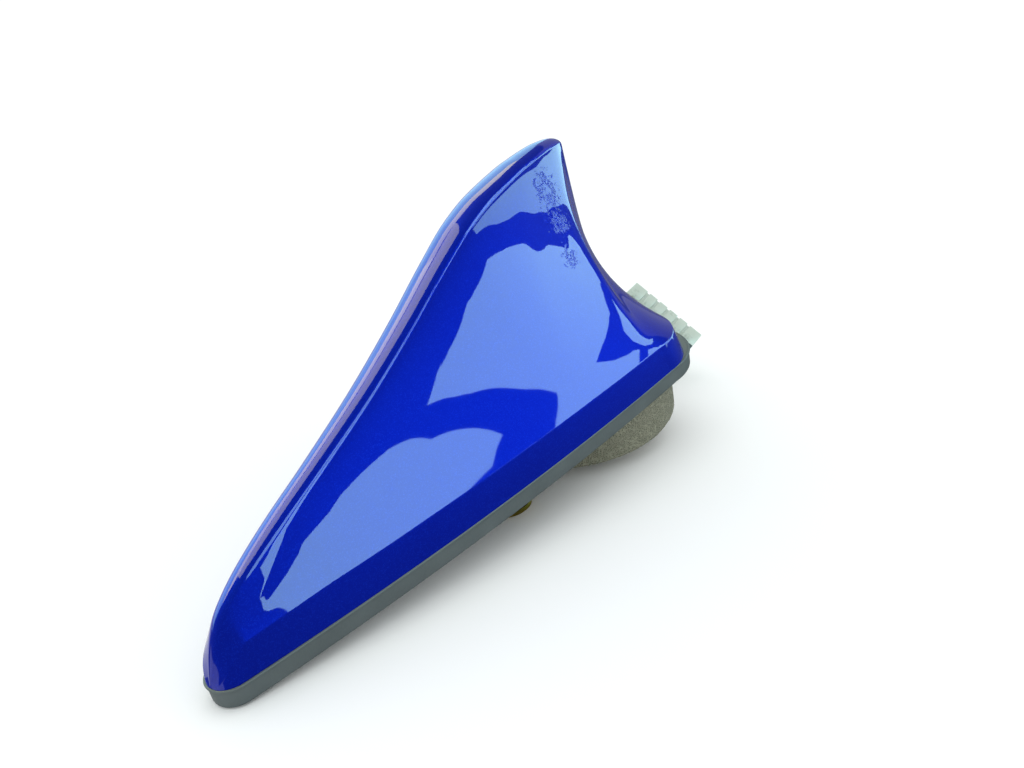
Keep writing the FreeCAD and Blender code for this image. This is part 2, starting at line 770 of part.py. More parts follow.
# Folded radio element over the blade's upper edge
MIDDLE = "(carrier_front + carrier_back) / 2"
element = doc.addObject("PartDesign::Body", "top_load_plate_body")
element_profile = sketch_polygon(element, "element_profile", "XZ_Plane", [
    (MIDDLE, BOARD_TOP + " + carrier_top - plate_drop"),
    ("carrier_back", BOARD_TOP + " + carrier_top - plate_drop"),
    ("carrier_back", BOARD_TOP + " + carrier_top + plate_sheet"),
    (MIDDLE, BOARD_TOP + " + carrier_top + plate_sheet"),
])
pad(element, "element_pad", element_profile, "carrier_thickness + 2 * plate_gap + 2 * plate_sheet")
element_room = box("element_room", "carrier_back", "carrier_thickness + 2 * plate_gap", "plate_drop", MIDDLE,
                   "-carrier_thickness / 2 - plate_gap", BOARD_TOP + " + carrier_top - plate_drop")
node("top_load_plate", cut("top_load_plate_cut", element, [element_room]))

# Coil, spring contact, upright board and chips
node("loading_coil", shaped("loading_coil_shape", make_coil()))
node("element_contact", box("element_contact_strip", "contact_sheet", "contact_width", "coil_height",
                            "coil_radius - coil_station", "-contact_width / 2", BOARD_TOP))
node("cellular_board", box("cellular_board_sheet", "cell_length", "cell_sheet", "cell_height", "cell_front",
                           "cell_shift", BOARD_TOP))
node("amplifier_chips", shaped("amplifier_chips_shape", make_chips()))

# Cable boot, foam, cable and plug
node("cable_boot", shaped("cable_boot_shape", make_boot()))
node("foam_pad", shaped("foam_pad_shape", make_foam()))
node("pigtail", shaped("pigtail_shape", make_cable()))
node("connector_housing", shaped("connector_housing_shape", on_plug(make_plug_housing())))
node("connector_retainer", shaped("connector_retainer_shape", on_plug(make_plug_retainer())))
node("connector_contacts", shaped("connector_contacts_shape", on_plug(make_plug_contacts())))

doc.recompute()
for obj in doc.Objects:
    if {"Invalid", "Error"} & set(obj.State):
        raise RuntimeError(f"{obj.Label} failed: {obj.State}")
for piece in nodes:
    if piece.Shape.isNull() or not piece.Shape.isValid():
        raise RuntimeError(f"{piece.Label} has no valid shape")

os.makedirs("parts", exist_ok=True)
for piece in nodes:
    piece.Shape.exportStep(os.path.join("parts", f"{piece.Label}.step"))
    print(f"{piece.Label}: {len(piece.Shape.Solids)} solid, {piece.Shape.Volume:.0f} mm3")
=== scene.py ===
"""Roof fin antenna: the looks of every piece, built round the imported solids, in metres."""

import logging
import math
from dataclasses import dataclass, field
from enum import Enum
from typing import Sequence

import bmesh
import bpy
import numpy as np
from mathutils import Matrix, Vector, noise


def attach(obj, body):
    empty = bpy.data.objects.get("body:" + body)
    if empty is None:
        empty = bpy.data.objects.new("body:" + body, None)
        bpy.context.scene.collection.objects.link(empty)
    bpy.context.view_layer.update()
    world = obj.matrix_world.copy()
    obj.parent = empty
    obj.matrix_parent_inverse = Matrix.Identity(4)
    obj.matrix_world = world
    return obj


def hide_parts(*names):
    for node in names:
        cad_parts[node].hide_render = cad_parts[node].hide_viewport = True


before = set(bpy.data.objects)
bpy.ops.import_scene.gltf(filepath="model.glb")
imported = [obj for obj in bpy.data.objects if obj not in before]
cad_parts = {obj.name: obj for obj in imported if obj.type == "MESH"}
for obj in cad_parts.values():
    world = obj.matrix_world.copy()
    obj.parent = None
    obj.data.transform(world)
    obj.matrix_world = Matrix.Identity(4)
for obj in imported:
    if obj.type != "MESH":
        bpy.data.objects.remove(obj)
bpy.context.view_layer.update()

LOG = logging.getLogger("roof_fin_antenna")
MM = 0.001
TINY = 1e-6
LEAST_EDGE = 1e-7
BODY = "root"
Point = tuple[float, float]
Place = tuple[float, float, float]


class Slot(Enum):
    """Material slots of the record."""

    PAINT = "blue_paint"
    RUBBER = "gasket_rubber"
    CAST = "die_cast"
    ZINC = "zinc_steel"
    YELLOW = "yellow_zinc"
    BOARD = "board"
    TIN = "tin_plate"
    CERAMIC = "patch_ceramic"
    BLACK = "black_plastic"
    COPPER = "copper_wire"
    FOAM = "foam"
    JACKET = "cable_jacket"
    NYLON = "natural_nylon"


def linear(code: str) -> tuple[float, float, float, float]:
    """Turn an sRGB hex colour into linear values.

    Args:
        code: Six hex digits after a hash sign.

    Returns:
        Red, green, blue and full opacity.
    """
    parts = [int(code[start:start + 2], 16) / 255 for start in (1, 3, 5)]
    made = [part / 12.92 if part <= 0.04045 else ((part + 0.055) / 1.055) ** 2.4 for part in parts]
    return made[0], made[1], made[2], 1.0


def add_node(tree: bpy.types.NodeTree, kind: str, links: dict[str | int, object] | None = None,
             **settings: object) -> bpy.types.Node:
    """Add one node with its settings, values and links.

    Args:
        tree: The tree that gets the node.
        kind: The node's type name.
        links: Values or output sockets for the node's inputs, by name or number.
        settings: Attributes of the node.

    Returns:
        The new node.
    """
    made = tree.nodes.new(kind)
    for name, value in settings.items():
        setattr(made, name, value)
    for name, value in (links or {}).items():
        if isinstance(value, bpy.types.NodeSocket):
            tree.links.new(value, made.inputs[name])
        else:
            made.inputs[name].default_value = value
    return made


def per_metre(size_mm: float) -> float:
    """Scale of a pattern whose cells are this many millimetres wide."""
    return 1.0 / (size_mm * MM)


@dataclass(frozen=True)
class Finish:
    """A surface finish: two colours that drift into each other, a roughness that drifts and a fine relief."""

    name: str
    slot: Slot
    colour: str
    drift_colour: str
    roughness: float
    metallic: float = 0.0
    drift_mm: float = 12.0
    grain_mm: float = 0.8
    grain_depth_mm: float = 0.02
    rough_drift: float = 0.1
    drift_detail: float = 4.0
    grain_detail: float = 3.0

    def material(self) -> bpy.types.Material:
        """Build the material.

        Returns:
            A node material named for the finish.
        """
        made = bpy.data.materials.new(self.name)
        made.use_nodes = True
        tree = made.node_tree
        shader = tree.nodes["Principled BSDF"]
        shader.inputs["Metallic"].default_value = self.metallic
        place = add_node(tree, "ShaderNodeTexCoord").outputs["Object"]
        self.dress(tree, shader, place)
        return made

    def dress(self, tree: bpy.types.NodeTree, shader: bpy.types.Node, place: bpy.types.NodeSocket) -> None:
        """Link the finish's patterns to its shader.

        Args:
            tree: The material's tree.
            shader: The principled shader.
            place: Object coordinates.
        """
        drift = add_node(tree, "ShaderNodeTexNoise",
                         {"Vector": place, "Scale": per_metre(self.drift_mm), "Detail": self.drift_detail})
        tint = add_node(tree, "ShaderNodeMix", {"Factor": drift.outputs["Fac"], "A": linear(self.colour),
                                                "B": linear(self.drift_colour)}, data_type="RGBA")
        tree.links.new(tint.outputs["Result"], shader.inputs["Base Color"])
        self.roughen(tree, shader, drift.outputs["Fac"])
        grain = add_node(tree, "ShaderNodeTexNoise",
                         {"Vector": place, "Scale": per_metre(self.grain_mm), "Detail": self.grain_detail})
        self.relief(tree, shader, grain.outputs["Fac"])

    def roughen(self, tree: bpy.types.NodeTree, shader: bpy.types.Node, drift: bpy.types.NodeSocket) -> None:
        """Let the roughness drift about its middle value.

        Args:
            tree: The material's tree.
            shader: The principled shader.
            drift: The pattern that it follows.
        """
        spread = add_node(tree, "ShaderNodeMapRange", {"Value": drift,
                                                       "To Min": self.roughness - self.rough_drift,
                                                       "To Max": self.roughness + self.rough_drift})
        tree.links.new(spread.outputs["Result"], shader.inputs["Roughness"])

    def relief(self, tree: bpy.types.NodeTree, shader: bpy.types.Node, height: bpy.types.NodeSocket) -> None:
        """Give the surface its fine relief.

        Args:
            tree: The material's tree.
            shader: The principled shader.
            height: The pattern that it follows.
        """
        bump = add_node(tree, "ShaderNodeBump", {"Height": height, "Distance": self.grain_depth_mm * MM})
        tree.links.new(bump.outputs["Normal"], shader.inputs["Normal"])


@dataclass(frozen=True)
class ScuffSpot:
    """A patch of dull specks in the lacquer."""

    centre: Place
    reach_mm: float


@dataclass(frozen=True)
class FlakePaint(Finish):
    """Basecoat with metal flakes under clear lacquer: deep colour, sparkle below, a sharp gloss on top."""

    flake_colour: str = "#0a2cbc"
    flake_mm: float = 0.18
    coat_roughness: float = 0.02
    speck_mm: float = 1.4
    scuffs: tuple[ScuffSpot, ...] = ()
    scuff_colour: str = "#0c22a0"
    scuff_depth_mm: float = 0.05
    coat_ior: float = 1.5
    flake_start: float = 0.7
    flake_share: float = 0.6
    speck_detail: float = 6.0
    speck_roughness: float = 0.7
    scuff_lift: float = 0.5
    scuff_edge: Point = (0.82, 0.92)

    def dress(self, tree: bpy.types.NodeTree, shader: bpy.types.Node, place: bpy.types.NodeSocket) -> None:
        """Put flakes in the colour, lacquer over them and specks where the lacquer is scuffed.

        Args:
            tree: The material's tree.
            shader: The principled shader.
            place: Object coordinates.
        """
        shader.inputs["Specular IOR Level"].default_value = 0.0
        shader.inputs["Coat Weight"].default_value = 1.0
        shader.inputs["Coat Roughness"].default_value = self.coat_roughness
        shader.inputs["Coat IOR"].default_value = self.coat_ior
        drift = add_node(tree, "ShaderNodeTexNoise", {"Vector": place, "Scale": per_metre(self.drift_mm)})
        flakes = add_node(tree, "ShaderNodeTexVoronoi", {"Vector": place, "Scale": per_metre(self.flake_mm)})
        sparkle = add_node(tree, "ShaderNodeSeparateColor", {"Color": flakes.outputs["Color"]})
        base = add_node(tree, "ShaderNodeMix", {"Factor": drift.outputs["Fac"], "A": linear(self.colour),
                                                "B": linear(self.drift_colour)}, data_type="RGBA")
        share = add_node(tree, "ShaderNodeMapRange", {"Value": sparkle.outputs["Red"],
                                                      "From Min": self.flake_start,
                                                      "To Max": self.flake_share})
        flaked = add_node(tree, "ShaderNodeMix", {"Factor": share.outputs["Result"],
                                                  "A": base.outputs["Result"],
                                                  "B": linear(self.flake_colour)}, data_type="RGBA")
        worn = self.scuff_mask(tree, place)
        colour = add_node(tree, "ShaderNodeMix", {"Factor": worn, "A": flaked.outputs["Result"],
                                                  "B": linear(self.scuff_colour)}, data_type="RGBA")
        tree.links.new(colour.outputs["Result"], shader.inputs["Base Color"])
        self.roughen(tree, shader, drift.outputs["Fac"])
        bump = add_node(tree, "ShaderNodeBump", {"Height": worn, "Distance": self.scuff_depth_mm * MM},
                        invert=True)
        tree.links.new(bump.outputs["Normal"], shader.inputs["Coat Normal"])

    def scuff_mask(self, tree: bpy.types.NodeTree, place: bpy.types.NodeSocket) -> bpy.types.NodeSocket:
        """Specks that fade out from the middle of each scuffed spot.

        Args:
            tree: The material's tree.
            place: Object coordinates.

        Returns:
            One where the lacquer is scuffed, zero elsewhere.
        """
        specks = add_node(tree, "ShaderNodeTexNoise", {"Vector": place, "Scale": per_metre(self.speck_mm),
                                                       "Detail": self.speck_detail,
                                                       "Roughness": self.speck_roughness})
        total = None
        for spot in self.scuffs:
            centre = tuple(part * MM for part in spot.centre)
            away = add_node(tree, "ShaderNodeVectorMath", {0: place, 1: centre}, operation="DISTANCE")
            near = add_node(tree, "ShaderNodeMapRange", {"Value": away.outputs["Value"],
                                                         "From Max": spot.reach_mm * MM,
                                                         "To Min": self.scuff_lift, "To Max": 0.0})
            reach = near.outputs["Result"]
            if total is not None:
                reach = add_node(tree, "ShaderNodeMath", {0: total, 1: reach}, operation="MAXIMUM").outputs[0]
            total = reach
        sum_up = add_node(tree, "ShaderNodeMath", {0: specks.outputs["Fac"], 1: total}, operation="ADD")
        sharp = add_node(tree, "ShaderNodeMapRange", {"Value": sum_up.outputs[0],
                                                      "From Min": self.scuff_edge[0],
                                                      "From Max": self.scuff_edge[1]})
        return sharp.outputs["Result"]


@dataclass(frozen=True)
class OpenFoam(Finish):
    """Open-cell foam: dull walls round pores darkened with painted shade."""

    pore_mm: float = 0.55
    # Painted shade: the colour of the pores, dark where shade falls into them
    pore_shade_colour: str = "#6f6f5e"
    wall_share: float = 0.32

    def dress(self, tree: bpy.types.NodeTree, shader: bpy.types.Node, place: bpy.types.NodeSocket) -> None:
        """Put pores darkened with painted shade between paler cell walls, with a relief that follows them.

        Args:
            tree: The material's tree.
            shader: The principled shader.
            place: Object coordinates.
        """
        pores = add_node(tree, "ShaderNodeTexVoronoi", {"Vector": place, "Scale": per_metre(self.pore_mm)},
                         feature="DISTANCE_TO_EDGE")
        walls = add_node(tree, "ShaderNodeMapRange", {"Value": pores.outputs["Distance"],
                                                      "From Max": self.wall_share,
                                                      "To Min": 1.0, "To Max": 0.0})
        drift = add_node(tree, "ShaderNodeTexNoise", {"Vector": place, "Scale": per_metre(self.drift_mm)})
        skin = add_node(tree, "ShaderNodeMix", {"Factor": drift.outputs["Fac"], "A": linear(self.colour),
                                                "B": linear(self.drift_colour)}, data_type="RGBA")
        # Painted shade: the pores get the dark colour, the walls get the foam's own colour
        colour = add_node(tree, "ShaderNodeMix", {"Factor": walls.outputs["Result"],
                                                  "A": linear(self.pore_shade_colour), "B": skin.outputs["Result"]},
                          data_type="RGBA")
        tree.links.new(colour.outputs["Result"], shader.inputs["Base Color"])
        self.roughen(tree, shader, drift.outputs["Fac"])
        self.relief(tree, shader, walls.outputs["Result"])


@dataclass(frozen=True)
class ClearNylon(Finish):
    """Natural nylon: milky, lets some light into its depth, with a satin moulded skin."""

    depth_mm: float = 2.0
    depth_share: float = 0.5

    def dress(self, tree: bpy.types.NodeTree, shader: bpy.types.Node, place: bpy.types.NodeSocket) -> None:
        """Put the common patterns over a body that light enters.

        Args:
            tree: The material's tree.
            shader: The principled shader.
            place: Object coordinates.
        """
        shader.inputs["Subsurface Weight"].default_value = self.depth_share
        shader.inputs["Subsurface Radius"].default_value = (self.depth_mm * MM,) * 3
        shader.inputs["Subsurface Scale"].default_value = 1.0
        super().dress(tree, shader, place)


FINISHES = (
    # Blue basecoat and lacquer on moulded plastic, with dull specks on the near flank by the tail edge
    FlakePaint("flake_paint", Slot.PAINT, "#001798", "#001b9f", 0.45, 0.42, drift_mm=30.0, rough_drift=0.04,
               scuffs=(ScuffSpot((48.0, -5.0, 56.5), 11.0), ScuffSpot((47.0, -8.0, 47.5), 9.0),
                       ScuffSpot((43.5, -12.0, 39.0), 7.0))),
    # Moulded synthetic rubber: dull, slightly dusty
    Finish("moulded_rubber", Slot.RUBBER, "#4c5557", "#5f696a", 0.55, drift_mm=9.0, grain_depth_mm=0.03),
    # Die-cast aluminium: grey, with the slight orange peel of the mould
    Finish("cast_aluminium", Slot.CAST, "#8d8f92", "#a3a5a7", 0.48, 1.0, grain_mm=0.6, grain_depth_mm=0.03),
    # Bright zinc on screws
    Finish("zinc_plate", Slot.ZINC, "#a9adb2", "#c4c7ca", 0.34, 1.0, drift_mm=3.0),
    # Yellow zinc on spring steel: gold that drifts to olive
    Finish("yellow_zinc_plate", Slot.YELLOW, "#c29a35", "#8d8a3c", 0.36, 1.0, drift_mm=4.0),
    # Green solder mask on glass fibre
    Finish("solder_mask", Slot.BOARD, "#164a26", "#1d5f31", 0.3, drift_mm=2.5, grain_mm=0.5),
    # Bright tin on thin sheet
    Finish("tinned_sheet", Slot.TIN, "#b9b9b4", "#cfcfca", 0.25, 1.0, drift_mm=6.0),
    # Fired ceramic: dull, cream
    Finish("fired_ceramic", Slot.CERAMIC, "#b9a884", "#c9ba98", 0.6, drift_mm=3.0, grain_mm=0.4),
    # Moulded black plastic: satin with a fine grain
    Finish("moulded_plastic", Slot.BLACK, "#26292a", "#303436", 0.5, drift_mm=8.0, grain_mm=0.5),
    # Enamelled copper wire
    Finish("enamelled_copper", Slot.COPPER, "#b5622e", "#c9763c", 0.25, 1.0, drift_mm=2.0),
    # Open-cell foam, soiled grey-brown, with painted shade in its pores
    OpenFoam("open_foam", Slot.FOAM, "#a9a994", "#989883", 0.95, rough_drift=0.04, grain_depth_mm=0.35),
    # Soft jacket of the cable
    Finish("cable_jacket", Slot.JACKET, "#17191a", "#202324", 0.55, drift_mm=5.0, grain_mm=0.4),
    # Natural nylon of the plug
    ClearNylon("natural_nylon", Slot.NYLON, "#b4c2b6", "#c6d2c7", 0.3, drift_mm=5.0, grain_mm=0.6),
)


def circle_through(first: Point, second: Point, third: Point) -> tuple[Point, float]:
    """Find the circle through three points.

    Args:
        first: A point of the plan.
        second: Another.
        third: A third, not in line with them.

    Returns:
        The circle's centre and radius.
    """
    rows = np.array([[second[0] - first[0], second[1] - first[1]],
                     [third[0] - first[0], third[1] - first[1]]])
    sides = np.array([rows[0] @ (np.add(first, second)), rows[1] @ (np.add(first, third))]) / 2
    centre = np.linalg.solve(rows, sides)
    return (float(centre[0]), float(centre[1])), math.hypot(first[0] - centre[0], first[1] - centre[1])


def arc_points(first: Point, second: Point, third: Point, count: int) -> list[Point]:
    """Points along the arc from the first point through the second, short of the third.

    Args:
        first: Where the arc starts.
        second: A point on it.
        third: Where it ends.
        count: How many points.

    Returns:
        The points in order.
    """
    (x, y), radius = circle_through(first, second, third)
    angles = np.unwrap([math.atan2(point[1] - y, point[0] - x) for point in (first, second, third)])
    return [(x + radius * math.cos(turn), y + radius * math.sin(turn))
            for turn in np.linspace(angles[0], angles[2], count, endpoint=False)]


def smooth_table(given: Sequence[float], values: Sequence[float], wanted: np.ndarray) -> np.ndarray:
    """Read a table between its rows with a curve that never overshoots them.

    Args:
        given: Rising positions of the rows.
        values: The rows' values.
        wanted: Positions to read.

    Returns:
        The values there.
    """
    xs, ys = np.asarray(given), np.asarray(values)
    steps = np.diff(xs)
    slopes = np.diff(ys) / steps
    ends = np.zeros_like(ys)
    ends[0], ends[-1] = slopes[0], slopes[-1]
    same_way = slopes[:-1] * slopes[1:] > 0
    before, after = 2 * steps[1:] + steps[:-1], steps[1:] + 2 * steps[:-1]
    safe = np.where(same_way, slopes[:-1], 1.0), np.where(same_way, slopes[1:], 1.0)
    ends[1:-1] = np.where(same_way, (before + after) / (before / safe[0] + after / safe[1]), 0.0)
    row = np.clip(np.searchsorted(xs, wanted) - 1, 0, len(steps) - 1)
    share = (wanted - xs[row]) / steps[row]
    left = ys[row] * (1 + 2 * share) * (1 - share) ** 2 + ends[row] * steps[row] * share * (1 - share) ** 2
    right = ys[row + 1] * share ** 2 * (3 - 2 * share) + ends[row + 1] * steps[row] * share ** 2 * (share - 1)
    return left + right


def rounded_spread(count: int) -> np.ndarray:
    """Shares from 0 to 1 that crowd at both ends."""
    return (1 - np.cos(np.linspace(0.0, math.pi, count))) / 2


@dataclass
class Workshop:
    """Keeps the finishes and hands finished pieces to the frame."""

    materials: dict[Slot, bpy.types.Material] = field(default_factory=dict)
    flat_deg: float = 1.0
    ease_steps: int = 2
    ease_from_deg: float = 40.0
    sharp_from_deg: float = 35.0

    def __post_init__(self) -> None:
        """Build each finish once."""
        for finish in FINISHES:
            self.materials[finish.slot] = finish.material()

    def link(self, name: str, data: bpy.types.ID) -> bpy.types.Object:
        """Put a mesh or curve into the scene.

        Args:
            name: The piece's name.
            data: Its mesh or curve.

        Returns:
            The new object, at the origin.
        """
        piece = bpy.data.objects.new(name, data)
        bpy.context.scene.collection.objects.link(piece)
        return piece

    def settle(self, piece: bpy.types.Object, slot: Slot, node: str = "") -> bpy.types.Object:
        """Give a piece its finish and its body, and hide the solid that it stands for.

        Args:
            piece: The finished piece.
            slot: Its material slot.
            node: The solid that it stands for, if any.

        Returns:
            The piece.
        """
        piece.data.materials.clear()
        piece.data.materials.append(self.materials[slot])
        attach(piece, BODY)
        if node:
            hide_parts(node)
        LOG.info("piece %s", piece.name)
        return piece

    def mesh(self, name: str, corners: np.ndarray, faces: list[tuple[int, ...]]
             ) -> bpy.types.Object:
        """Make a smooth mesh from corners in millimetres.

        Args:
            name: The piece's name.
            corners: Corner positions.
            faces: Corner numbers of each face.

        Returns:
            The new object.
        """
        data = bpy.data.meshes.new(name)
        data.from_pydata((corners * MM).tolist(), [], faces)
        data.validate()
        data.polygons.foreach_set("use_smooth", [True] * len(data.polygons))
        return self.link(name, data)

    def baked(self, piece: bpy.types.Object) -> bpy.types.Object:
        """Turn a piece's modifiers into a plain mesh.

        Args:
            piece: The piece with its modifiers.

        Returns:
            The same piece with none.
        """
        graph = bpy.context.evaluated_depsgraph_get()
        made = bpy.data.meshes.new_from_object(piece.evaluated_get(graph), depsgraph=graph)
        piece.modifiers.clear()
        if piece.type == "MESH":
            piece.data = made
            return piece
        name = piece.name
        bpy.data.objects.remove(piece)
        return self.link(name, made)

    def copied(self, name: str, node: str) -> bpy.types.Object:
        """Copy a solid's mesh with its doubled corners merged and its flat faces whole.

        Args:
            name: The copy's name.
            node: The solid.

        Returns:
            The copy.
        """
        mould = bmesh.new()
        mould.from_mesh(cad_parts[node].data)
        bmesh.ops.remove_doubles(mould, verts=mould.verts, dist=TINY)
        bmesh.ops.dissolve_limit(mould, angle_limit=math.radians(self.flat_deg), verts=mould.verts,
                                 edges=mould.edges)
        data = bpy.data.meshes.new(name)
        mould.to_mesh(data)
        mould.free()
        return self.link(name, data)

    def softened(self, node: str, slot: Slot, edge_mm: float) -> bpy.types.Object:
        """Stand for a solid with a copy whose edges are eased.

        Args:
            node: The solid.
            slot: Its material slot.
            edge_mm: Width of the eased edge.

        Returns:
            The finished piece.
        """
        piece = self.copied(f"{node}_eased", node)
        bevel = piece.modifiers.new("eased", "BEVEL")
        bevel.width = edge_mm * MM
        bevel.segments = self.ease_steps
        bevel.limit_method = "ANGLE"
        bevel.angle_limit = math.radians(self.ease_from_deg)
        bevel.use_clamp_overlap = True
        piece = self.baked(piece)
        piece.data.shade_smooth()
        piece.data.set_sharp_from_angle(angle=math.radians(self.sharp_from_deg))
        return self.settle(piece, slot, node)

    def paint(self, node: str, slot: Slot) -> None:
        """Give a solid that shows as it is its finish.

        Args:
            node: The solid.
            slot: Its material slot.
        """
        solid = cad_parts[node]
        solid.data.materials.clear()
        solid.data.materials.append(self.materials[slot])
        LOG.info("solid %s", node)


@dataclass
class PlanOutline:
    """The gasket's outline seen from above, in stations from the nose, as the solids have it."""

    length: float = 165.0
    nose_reach: float = 88.0
    nose_radius: float = 5.6
    belly: Point = (70.0, 23.2)
    corner: Point = (140.0, 36.0)
    corner_bulge: float = 3.6
    tail_half: float = 27.5
    tail_bulge: float = 6.4
    side_lead: float = 1.1
    nose_points: int = 14
    side_points: int = 90
    corner_points: int = 26
    tail_points: int = 20

    def joints(self) -> tuple[Point, Point, Point]:
        """Find where the outline's arcs meet.

        Returns:
            Where the side starts, the top of the rear corner's bulge and where the tail's arc starts.
        """
        slope = (self.belly[1] - self.nose_radius) / (self.belly[0] - self.nose_radius) * self.side_lead
        lean = math.atan(slope)
        start = (self.nose_radius * (1 - math.sin(lean)), self.nose_radius * math.cos(lean))
        tail = (self.length - self.tail_bulge, self.tail_half)
        run = (tail[0] - self.corner[0], tail[1] - self.corner[1])
        out = self.corner_bulge / math.hypot(*run)
        bulge = ((self.corner[0] + tail[0]) / 2 - run[1] * out,
                 (self.corner[1] + tail[1]) / 2 + run[0] * out)
        return start, bulge, tail

    def half_width(self, station: float) -> float:
        """Half the outline's width.

        Args:
            station: Distance from the nose.

        Returns:
            Half the width there.
        """
        start, bulge, tail = self.joints()
        if station <= start[0]:
            return math.sqrt(max(self.nose_radius ** 2 - (station - self.nose_radius) ** 2, 0.0))
        if station <= self.corner[0]:
            centre, radius = circle_through(start, self.belly, self.corner)
            return centre[1] + math.sqrt(radius ** 2 - (station - centre[0]) ** 2)
        if station <= tail[0]:
            centre, radius = circle_through(self.corner, bulge, tail)
            return centre[1] + math.sqrt(radius ** 2 - (station - centre[0]) ** 2)
        centre, radius = circle_through(tail, (self.length, 0.0), (tail[0], -tail[1]))
        return math.sqrt(max(radius ** 2 - (station - centre[0]) ** 2, 0.0))

    def outline(self) -> np.ndarray:
        """Draw the closed outline.

        Returns:
            Its points, anticlockwise from the nose, in the part's own frame.
        """
        start, bulge, tail = self.joints()
        nose_mid = (self.nose_radius * (1 - math.cos(math.pi / 4)), self.nose_radius * math.sin(math.pi / 4))
        side = arc_points((0.0, 0.0), nose_mid, start, self.nose_points)
        side += arc_points(start, self.belly, self.corner, self.side_points)
        side += arc_points(self.corner, bulge, tail, self.corner_points)
        whole_tail = arc_points(tail, (self.length, 0.0), (tail[0], -tail[1]), 2 * self.tail_points)
        side += whole_tail[:self.tail_points]
        near = [(x - self.nose_reach, -y) for x, y in side]
        far = [(x - self.nose_reach, y) for x, y in side[:0:-1]]
        return np.array(near + [(self.length - self.nose_reach, 0.0)] + far)


# Cross-sections of the cover from nose to tail: share of its length, share of its height at the spine,
# share of the crown's width, how hollow the side is, and how far it leans forward for each mm of height
COVER_SECTIONS = (
    (0.0006, 0.084, 0.05, 1.00, 0.000),
    (0.0070, 0.120, 0.16, 1.00, 0.000),
    (0.0160, 0.167, 0.26, 1.00, 0.000),
    (0.0290, 0.220, 0.35, 1.02, 0.000),
    (0.0450, 0.266, 0.42, 1.05, 0.000),
    (0.0650, 0.301, 0.48, 1.10, 0.000),
    (0.0940, 0.340, 0.54, 1.15, 0.000),
    (0.1550, 0.403, 0.62, 1.20, 0.000),
    (0.2480, 0.484, 0.68, 1.25, 0.000),
    (0.3590, 0.587, 0.77, 1.30, 0.000),
    (0.4710, 0.711, 0.85, 1.35, 0.000),
    (0.5700, 0.833, 0.92, 1.40, 0.000),
    (0.6440, 0.914, 0.98, 1.45, 0.000),
    (0.7060, 0.957, 1.00, 1.55, 0.000),
    (0.7800, 0.983, 0.98, 1.68, 0.020),
    (0.8240, 0.993, 0.95, 1.76, 0.037),
    (0.8340, 0.994, 0.94, 1.82, 0.041),
    (0.8580, 0.997, 0.92, 2.30, 0.051),
    (0.9100, 1.000, 0.81, 3.20, 0.080),
    (0.9480, 0.994, 0.68, 4.20, 0.090),
    (0.9720, 0.984, 0.53, 5.20, 0.100),
    (0.9880, 0.969, 0.38, 6.00, 0.105),
    (0.9970, 0.946, 0.21, 6.50, 0.110),
    (0.9998, 0.915, 0.08, 6.60, 0.112),
)


